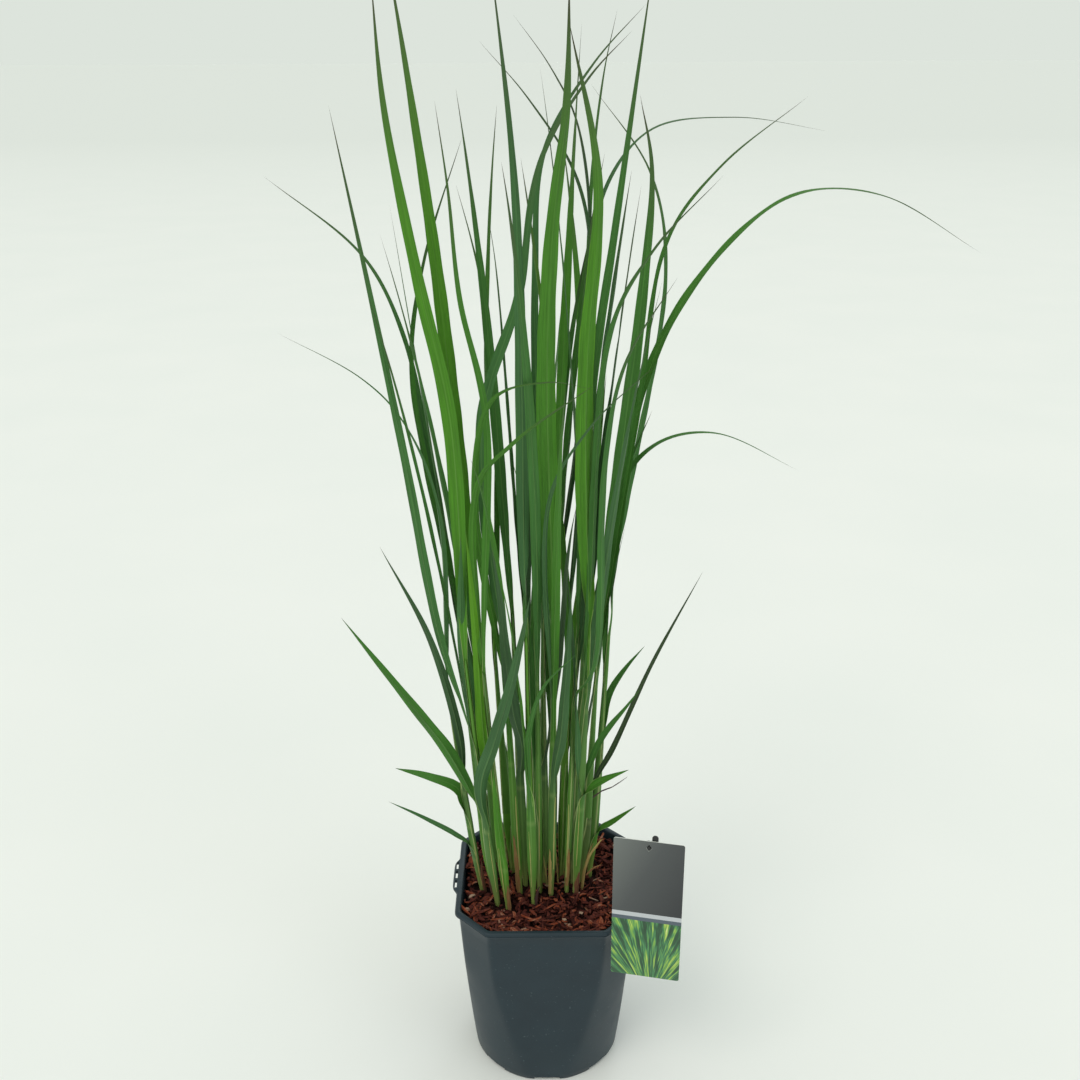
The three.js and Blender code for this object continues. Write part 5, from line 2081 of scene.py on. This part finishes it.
@dataclass
class Tiller:
    """One shoot of the clump: a stem wrapped in the sheaths of its own leaves."""

    number: int
    stem: Stem
    blades: list[Blade]
    draws: Draws
    form: LeafForm = field(default_factory=LeafForm)

    def __post_init__(self) -> None:
        """Draws which way the shoot faces, how flat it is, and its shade of green."""
        self.facing = self.draws.swing(self.form.facing)
        flat = self.draws.share()
        self.flatten = (mix(*self.form.widest, flat), mix(*self.form.deepest, flat))
        self.swell = mix(*self.form.swollen, self.draws.share())
        self.hue = self.form.green + self.draws.swing(self.form.shoot_swing)

    def outside(self, z: Points) -> Points:
        """Gives the radius of the shoot with its sheaths."""
        return self.stem.radius(z) + self.form.sheath_out

    def sheath_foot(self, blade: Blade) -> float:
        """Gives the height at which a blade's sheath starts."""
        return max(GROWTH.soil - self.form.sunk, blade.rows[0, 2] - self.form.longest_sheath)

    def layers_over(self, z: Points, collar: float) -> Points:
        """Counts the sheaths that lie outside one whose collar is at this height.

        Args:
            z: The heights, in millimetres.
            collar: The sheath's own collar.

        Returns:
            How many there are at each height.
        """
        layers = np.zeros_like(z)
        (low, high), beyond = self.form.foot_over, self.form.collar_over
        for other in self.blades:
            foot, top = self.sheath_foot(other), other.rows[0, 2]
            if top < collar - TINY:
                layers += ease(foot + low, foot + high, z) * (1.0 - ease(top - beyond, top + beyond, z))
        return layers

    def girth(self, z: Points) -> Points:
        """Gives how wide the shoot is for its stem: pinched at the bark and widest above.

        Args:
            z: The heights, in millimetres.

        Returns:
            The shoot's width at each height, as a share of its stem's.
        """
        form, above = self.form, z - GROWTH.soil
        start, full, end = form.swell_heights
        bulge = self.swell * ease(start, full, above) * (1.0 - ease(full, end, above))
        return mix(form.pinched, 1.0, ease(0.0, form.pinch_end, above)) + bulge

    def round_stem(self, z: Points, direction: Points, radius: Points) -> Points:
        """Gives places round the shoot, which is wider than it is deep.

        Args:
            z: A height for each row.
            direction: Level unit vectors, by row and column.
            radius: How far out each place is, by row and column.

        Returns:
            The places, by row and column.
        """
        wide = np.array([math.cos(self.facing), math.sin(self.facing), 0.0])
        deep = np.array([-wide[1], wide[0], 0.0])
        widest, deepest = self.flatten
        share = (1.0 - ease(GROWTH.soil, self.stem.top, z))[:, None, None]
        flat = wide * dot(direction, wide)[..., None] * mix(1.0, widest, share)
        flat = flat * self.girth(z)[:, None, None]
        flat = flat + deep * dot(direction, deep)[..., None] * mix(1.0, deepest, share)
        return self.stem.axis(z)[:, None] + flat * radius[..., None]

    def line(self, blade: Blade, reach: Points) -> Points:
        """Gives a blade's middle line at distances from its collar.

        Args:
            blade: The blade.
            reach: The distances, in millimetres.

        Returns:
            A place for each distance.
        """
        count = math.ceil(blade.total / self.form.line_step)
        way = curve_through(blade.evenly(count), reach / blade.total * count)
        return way + curve_through(blade.rows - blade.home, reach / blade.total * blade.segments)

    def departure(self, blade: Blade) -> Points:
        """Gives the level direction in which a blade leaves its stem.

        Args:
            blade: The blade.

        Returns:
            A unit vector.
        """
        near, far = self.line(blade, np.array(self.form.leaves_towards) * blade.total)
        out = (near - self.stem.axis(near[2])) + self.form.far_counts * (far - self.stem.axis(far[2]))
        return unit(out * (1.0, 1.0, 0.0))

    def stations(self, blade: Blade) -> Points:
        """Gives the distances from the collar at which a leaf is drawn, negative on its sheath.

        Args:
            blade: The blade.

        Returns:
            The distances, from the foot of the sheath to the tip.
        """
        form = self.form
        foot = self.sheath_foot(blade) - blade.rows[0, 2]
        spans = (
            (foot, -form.opens_below, form.sheath_step),
            (max(foot, -form.opens_below), form.opened, form.opening_step),
            (form.opened, blade.total - form.tip, form.step),
            (blade.total - form.tip, blade.total, form.tip_step),
        )
        parts = [
            np.linspace(low, high, max(2, math.ceil((high - low) / step) + 1))[:-1]
            for low, high, step in spans
            if high - low > TINY
        ]
        return np.concatenate([*parts, [blade.total]])

    def leaf(self, blade: Blade) -> Piece:
        """Makes one leaf as a closed sheet: its sheath round the stem and its blade above.

        Args:
            blade: The blade.

        Returns:
            The leaf.
        """
        form, draws = self.form, self.draws
        reach = self.stations(blade)
        up = np.maximum(reach, 0.0)
        share = up / blade.total
        collar = blade.rows[0, 2]
        z = collar + reach
        centre = np.where((reach < 0)[:, None], self.stem.axis(z), self.line(blade, up))
        along = unit(np.gradient(centre, reach, axis=0))
        away = self.departure(blade)
        sideways = np.array([-away[1], away[0], 0.0])

        # The blade faces its stem at the collar, and turns from there to its own roll.
        level = unit(sideways - along * dot(along, sideways)[:, None])
        cross = np.cross(along, level)
        across, _ = blade.frames(along, share)
        turn = np.unwrap(np.arctan2(dot(across, cross), dot(across, level)))
        fade = min(max(form.turn_share * blade.total, form.turn_reach[0]), form.turn_reach[1])
        turn = (turn * ease(0.0, fade, reach))[:, None]
        across = level * np.cos(turn) + cross * np.sin(turn)
        face = np.cross(along, across)

        # Close to its own stem the blade is held outside it.
        apart = dot(centre - self.stem.axis(centre[:, 2]), away)
        least, most = (self.outside(centre[:, 2]) + gap for gap in form.held)
        held = np.minimum(np.logaddexp(0.0, least - apart), most)
        held *= 1.0 - ease(self.stem.top, self.stem.top + form.held_above, centre[:, 2])
        held *= 1.0 - ease(*form.let_go, share)

        over = [*(-place for place in form.columns[:0:-1]), *form.columns]
        sides = np.array([*over, *over[-2::-1]])
        upper = np.where(np.arange(len(sides)) < len(over), 1.0, -1.0)
        half = blade.half_width(share)[:, None]
        fold = mix(GROWTH.fold[0], GROWTH.fold[1], share)[:, None]
        soft = np.sqrt(sides**2 + form.keel_softness**2) - form.keel_softness
        soft = soft / (math.sqrt(1 + form.keel_softness**2) - form.keel_softness)
        phase = math.tau * draws.share()
        length = form.wave_length * draws.vary(form.wave_vary)
        ripple = np.sin(math.tau * reach[:, None] / length + phase + form.wave_lag * np.sign(sides))
        wave = form.wave * np.minimum(half / form.wave_half, form.wave_most)
        wave = wave * ease(*form.wave_start, reach)[:, None]
        wave = wave * ripple * sides**2
        thin = np.minimum(half / form.thin_below, 1.0) * np.ones_like(sides)
        thick = form.thickness * (1 - np.abs(sides) ** 3) * thin
        thick[0] = 0.0
        rib = form.rib * np.exp(-((sides / form.rib_width) ** 2)) * thin
        rib *= mix(1.0, form.rib_at_tip, share)[:, None]
        rib *= ease(-form.rib_start, form.rib_start, reach)[:, None]
        lift = fold * half * soft + wave + upper * thick / 2 - (upper < 0) * rib
        spot = centre + away * held[:, None]
        flat = spot[:, None] + across[:, None] * (sides * half)[..., None] + face[:, None] * lift[..., None]

        wrap = mix(mix(*form.wrap, draws.share()), form.wrap_at_collar, ease(-form.opens_below, 0.0, reach))
        wrap = mix(wrap, form.wrap_opened, ease(0.0, form.opened, reach))
        angle = wrap[:, None] * sides
        direction = away * np.cos(angle)[..., None] + sideways * np.sin(angle)[..., None]
        radius = self.outside(z) - form.layer * self.layers_over(z, collar)
        radius = radius[:, None] - upper * thick / 2 + form.margin_lift * sides**form.margin_curl
        sheath = self.round_stem(z, direction, radius)
        points = mix(sheath, flat, ease(0.0, form.opened, reach)[:, None, None])

        age = form.age[0] + form.age[1] * ease(*form.aged_by, blade.rows[-1, 2])
        age += draws.swing(form.age_swing)
        shade = self.hue + draws.swing(form.leaf_swing) if blade.shade is None else blade.shade
        hue = np.clip(shade - form.underside * (upper < 0), 0.0, 1.0)
        rows = {"share": share[:, None], "reach": reach[:, None]}
        return sheet_of("leaf", points, **rows, across=sides, hue=hue, age=age)

    def culm(self) -> Piece:
        """Makes the stem inside the sheaths, drawn in to a point at its top.

        Returns:
            The stem.
        """
        form = self.form
        bottom, top, point = GROWTH.soil - GROWTH.sunk, self.stem.top, form.culm_point
        shaft = np.arange(bottom + point, top - form.culm_end, form.culm_step)
        z = np.concatenate([[bottom, bottom], shaft, np.linspace(top - point, top, form.culm_rings)])
        radius = self.outside(z) - form.layer * (self.layers_over(z, SKY) + form.culm_under)
        radius = np.maximum(radius, form.culm_thinnest)
        radius *= np.sqrt(np.clip((top - z) / point, 0.0, 1.0))
        radius[0] = 0.0
        direction = around(np.linspace(0.0, math.tau, form.culm_sides + 1), 1.0, 0.0)
        direction = np.broadcast_to(direction, (len(z), *direction.shape))
        points = self.round_stem(z, direction, np.broadcast_to(radius[:, None], direction.shape[:2]))
        points[:, -1] = points[:, 0]
        reach = (z - top)[:, None] - form.culm_below
        looks = {"hue": self.hue, "age": form.culm_age, "across": form.culm_across}
        return sheet_of("culm", points, share=0.0, reach=reach, **looks)

    def build(self, finish: Material) -> Piece:
        """Makes the shoot as one piece.

        Args:
            finish: The finish that it gets.

        Returns:
            The shoot.
        """
        parts = [self.culm(), *(self.leaf(blade) for blade in self.blades)]
        piece = joined(f"grass_shoot_{self.number:02d}", parts)
        smooth(piece, self.form.sharp)
        dress(piece, finish)
        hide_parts(f"tiller_{self.number:02d}")
        return piece


@dataclass
class GrassClump:
    """The whole clump of shoots."""

    seed: int = 77
    stems: list[Stem] = field(init=False)
    blades: list[Blade] = field(init=False)

    def __post_init__(self) -> None:
        """Grows the stems and blades and settles them."""
        self.stems = [Stem(root, ruled) for root, ruled in STEMS]
        self.blades = grow_blades(self.stems)
        for blade, shade in zip(self.blades, SHADES):
            blade.shade = shade
        for blade in self.blades:
            stem = self.stems[blade.stem]
            stem.top = max(stem.top, float(blade.rows[0, 2]) + GROWTH.above_collar)
        Settling(self.stems, self.blades).run()

    def build(self, finish: Material) -> list[Piece]:
        """Makes every shoot.

        Args:
            finish: The finish that it gets.

        Returns:
            The shoots, in the order of their stems.
        """
        draws = Draws(self.seed)
        pieces = []
        for index, stem in enumerate(self.stems):
            own = [blade for blade in self.blades if blade.stem == index]
            pieces.append(Tiller(index + 1, stem, own, draws).build(finish))
        return pieces


@dataclass(frozen=True)
class Clinging:
    """A dead sheath that clings to a shoot."""

    stem: int
    # The side of the stem that it clings to, in degrees from +X towards +Y.
    side: float
    low: float
    high: float
    width: float
    # How far its upper end stands off.
    off: float
    tone: float


@dataclass(frozen=True)
class Loose:
    """A dead blade or stalk that lies loose among the shoots."""

    width: float
    tone: float
    way: tuple[Triple, ...]


@dataclass
class DryLitter:
    """The dead sheaths on the shoots and the dead blades between them."""

    stems: list[Stem]
    seed: int = 41
    columns: int = 6
    step: float = 5.0
    # Half the angle that a dead leaf is rolled up by, in radians.
    arc: float = 1.1
    thickness: float = 0.3
    # How ragged its edges are, as a share of its width, and its end, in millimetres.
    torn: float = 0.27
    torn_end: float = 1.8
    stands_out: float = 0.9
    # How late a clinging sheath stands off, and how narrow it starts and how much it narrows.
    stand_curl: float = 2.5
    foot_width: float = 0.75
    narrowing: float = 0.75
    # Where a loose blade's middle faces, how much it narrows, and its rows from point to point.
    faces: Triple = (0.0, -1.0, 0.35)
    loose_narrowing: float = 0.7
    loose_rows: int = 4
    sharp: float = 60.0
    clinging: tuple[Clinging, ...] = (
        Clinging(1, -25, 169, 213, 6.0, 2.5, 0.3),
        Clinging(3, -60, 170, 204, 4.5, 2.0, 0.5),
        Clinging(5, -115, 171, 243, 4.5, 1.0, 0.55),
        Clinging(6, -30, 168, 196, 5.0, 3.0, 0.1),
        Clinging(9, -115, 176, 229, 3.4, 1.0, 0.75),
        Clinging(11, -90, 182, 227, 4.2, 2.0, 0.6),
        Clinging(12, -70, 170, 203, 4.8, 3.0, 0.35),
        Clinging(13, -20, 192, 220, 3.6, 4.0, 0.65),
        Clinging(21, -100, 168, 201, 5.0, 2.5, 0.2),
        Clinging(1, -75, 184, 236, 0.9, 1.0, 0.85),
        Clinging(2, -70, 192, 262, 0.9, 1.2, 0.95),
        Clinging(3, -115, 188, 250, 0.9, 1.0, 0.9),
        Clinging(5, -65, 204, 288, 1.0, 1.8, 0.95),
        Clinging(6, -112, 196, 262, 1.0, 2.4, 1.0),
        Clinging(8, -85, 214, 300, 0.8, 1.8, 0.9),
        Clinging(9, -62, 206, 290, 0.9, 2.0, 0.95),
        Clinging(11, -112, 192, 276, 1.0, 1.4, 1.0),
        Clinging(12, -104, 208, 286, 0.8, 2.4, 0.95),
    )
    loose: tuple[Loose, ...] = (
        Loose(1.3, 0.0, ((44, -8, 283), (52, -11, 292), (62, -14, 299), (74, -16, 310))),
        Loose(2.4, 0.72, ((35, -3, 172), (37, -4, 196), (43, -6, 218), (53, -8, 236))),
        Loose(1.6, 0.5, ((39, -5, 192), (46, -8, 203), (53, -10, 208))),
        Loose(1.5, 0.85, ((1, 2, 172), (0, 1, 188), (-2, 0, 205), (-4, 0, 221))),
        Loose(1.4, 0.75, ((12, 4, 172), (11, 2, 192), (10, 1, 211), (8, 1, 228))),
    )

    def sheet(self, centre: Points, out: Points, width: Points, tone: float, draws: Draws) -> Piece:
        """Makes one dead leaf as a thin curved sheet.

        Args:
            centre: The middle of each row.
            out: The direction that each row's middle faces.
            width: The width of each row.
            tone: How light it is.
            draws: Where its ragged edge comes from.

        Returns:
            The sheet, with its thickness.
        """
        along = unit(np.gradient(centre, axis=0))
        across = unit(np.cross(along, out))
        out = np.cross(across, along)
        sides = np.linspace(-1.0, 1.0, self.columns + 1)
        half = (width / 2)[:, None] * np.array([[draws.vary(self.torn) for _ in sides] for _ in centre])
        beside = half * np.sin(self.arc * sides) / math.sin(self.arc)
        back = half * (1.0 - np.cos(self.arc * sides)) / math.sin(self.arc)
        points = centre[:, None] + across[:, None] * beside[..., None] - out[:, None] * back[..., None]
        points[-1] += along[-1] * np.array([draws.swing(self.torn_end) for _ in sides])[:, None]
        piece = sheet_of("dry_sheet", points, across=sides, reach=along_way(centre)[:, None], hue=tone)
        piece.modifiers.new("thickness", "SOLIDIFY").thickness = self.thickness * MM
        apply_modifiers(piece)
        return piece

    def clung(self, strip: Clinging, draws: Draws) -> Piece:
        """Makes a dead sheath on its stem.

        Args:
            strip: The sheath to make.
            draws: Where its random numbers come from.

        Returns:
            The sheath.
        """
        stem = self.stems[strip.stem - 1]
        count = math.ceil((strip.high - strip.low) / self.step)
        share = np.arange(count + 1) / count
        z = mix(strip.low, strip.high, share)
        side = math.radians(strip.side)
        out = np.array([[math.cos(side), math.sin(side), 0.0]])
        reach = stem.radius(z) + self.stands_out + strip.off * share**self.stand_curl
        centre = stem.axis(z) + out * reach[:, None]
        width = strip.width * mix(self.foot_width, 1.0, np.sin(math.pi * share))
        width *= 1.0 - self.narrowing * share**3
        return self.sheet(centre, out, width, strip.tone, draws)

    def lying(self, blade: Loose, draws: Draws) -> Piece:
        """Makes a dead blade or stalk along its way.

        Args:
            blade: The blade or stalk to make.
            draws: Where its random numbers come from.

        Returns:
            The blade or stalk.
        """
        way = np.array(blade.way, float)
        count = self.loose_rows * (len(way) - 1)
        share = np.arange(count + 1) / count
        centre = centripetal(way, share)
        width = blade.width * (1.0 - self.loose_narrowing * share**3)
        return self.sheet(centre, np.array([self.faces]), width, blade.tone, draws)

    def build(self, finish: Material) -> Piece:
        """Makes all the dead leaves as one piece.

        Args:
            finish: The finish that it gets.

        Returns:
            The dead leaves.
        """
        draws = Draws(self.seed)
        sheets = [self.clung(strip, draws) for strip in self.clinging]
        sheets += [self.lying(blade, draws) for blade in self.loose]
        piece = joined("dry_leaves", sheets)
        smooth(piece, self.sharp)
        dress(piece, finish)
        return piece


# ---------------------------------------------------------------- studio


@dataclass
class Studio:
    """The pale floor, the soft light and the camera."""

    eye: Triple = (-4.1, -938.0, 924.0)
    pitch: float = 22.27
    roll: float = 0.29
    lens: float = 39.4
    sensor: float = 36.0
    floor_size: float = 400.0
    world: str = "#dde4dc"
    # Each soft lamp: the height and the direction it shines from, in degrees, its strength and colour.
    lamps: tuple[tuple[float, float, float, str], ...] = (
        (52.0, -128.0, 0.62, "#fffaf0"),
        (38.0, -40.0, 0.2, "#f2f7ff"),
        (45.0, 75.0, 0.26, "#f4f8ff"),
    )
    softness: float = 28.0
    lamp_distance: float = 3.0

    def camera(self) -> None:
        """Adds the camera and makes it the scene's own."""
        pitch, roll = math.radians(self.pitch), math.radians(self.roll)
        ahead = Vector((0.0, math.cos(pitch), -math.sin(pitch)))
        right, up = Vector((1.0, 0.0, 0.0)), Vector((0.0, math.sin(pitch), math.cos(pitch)))
        side = right * math.cos(roll) - up * math.sin(roll)
        above = right * math.sin(roll) + up * math.cos(roll)
        bpy.ops.object.camera_add()
        camera = bpy.context.object
        turn = Matrix((side, above, -ahead)).transposed().to_4x4()
        camera.matrix_world = Matrix.Translation(Vector(self.eye) * MM) @ turn
        camera.data.lens = self.lens
        camera.data.sensor_width = self.sensor
        bpy.context.scene.camera = camera

    def lamp(self, height: float, azimuth: float, strength: float, colour: str) -> None:
        """Adds a far, wide lamp, so that the light is even over the floor.

        Args:
            height: How high it stands above the horizon, in degrees.
            azimuth: The direction it shines from, in degrees from +X towards +Y.
            strength: Its irradiance.
            colour: The light's colour.
        """
        up, round_z = math.radians(height), math.radians(azimuth)
        place = Vector((math.cos(up) * math.cos(round_z), math.cos(up) * math.sin(round_z), math.sin(up)))
        bpy.ops.object.light_add(type="SUN", location=place * self.lamp_distance)
        lamp = bpy.context.object
        lamp.data.angle = math.radians(self.softness)
        lamp.data.energy = strength
        lamp.data.color = linear(colour)[:3]
        lamp.rotation_euler = (-place).to_track_quat("-Z", "Y").to_euler()

    def build(self, finish: Material) -> None:
        """Lays the floor, hangs the lamps and sets the world's light.

        Args:
            finish: The floor's finish.
        """
        bpy.ops.mesh.primitive_plane_add(size=self.floor_size)
        floor = bpy.context.object
        floor.name = floor.data.name = "studio_floor"
        dress(floor, finish)
        world = bpy.data.worlds.new("soft_daylight")
        world.use_nodes = True
        bpy.context.scene.world = world
        sky = world.node_tree.nodes["Background"]
        plug(world.node_tree, sky, Color=linear(self.world), Strength=1.0)
        for lamp in self.lamps:
            self.lamp(*lamp)
        self.camera()
        bpy.context.scene.view_settings.view_transform = "Standard"


def main() -> None:
    """Loads the frame, dresses it and lights it."""
    logging.basicConfig(level=logging.INFO, format="%(message)s")
    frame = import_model()
    Studio().build(StudioFloor().build())
    log.info("studio set up")

    pot = NurseryPot()
    pieces = [pot.build(MouldedPolypropylene().build())]
    log.info("pot made")
    frame["nodes"]["soil"].material_slots[0].material = PottingMix().build()
    pieces += BarkMulch(pot, [root for root, _ in STEMS]).build(ShreddedBark().build())
    log.info("bark strewn")
    card = PlantCard()
    card_print = CardPrint().build(card.place, math.radians(card.yaw))
    plastic = BlackPlastic().build()
    pieces += [card.build(card_print, PlainCard().build()), CardStake(card).build(plastic)]
    log.info("card and stake made")
    clump = GrassClump()
    log.info("clump settled: %d blades on %d stems", len(clump.blades), len(clump.stems))
    pieces += clump.build(LivingLeaf().build())
    pieces.append(DryLitter(clump.stems).build(DrySheath().build()))
    for piece in pieces:
        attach(piece, BODY)
        log.info("%s: %d faces", piece.name, len(piece.data.polygons))


if __name__ == "__main__":
    main()
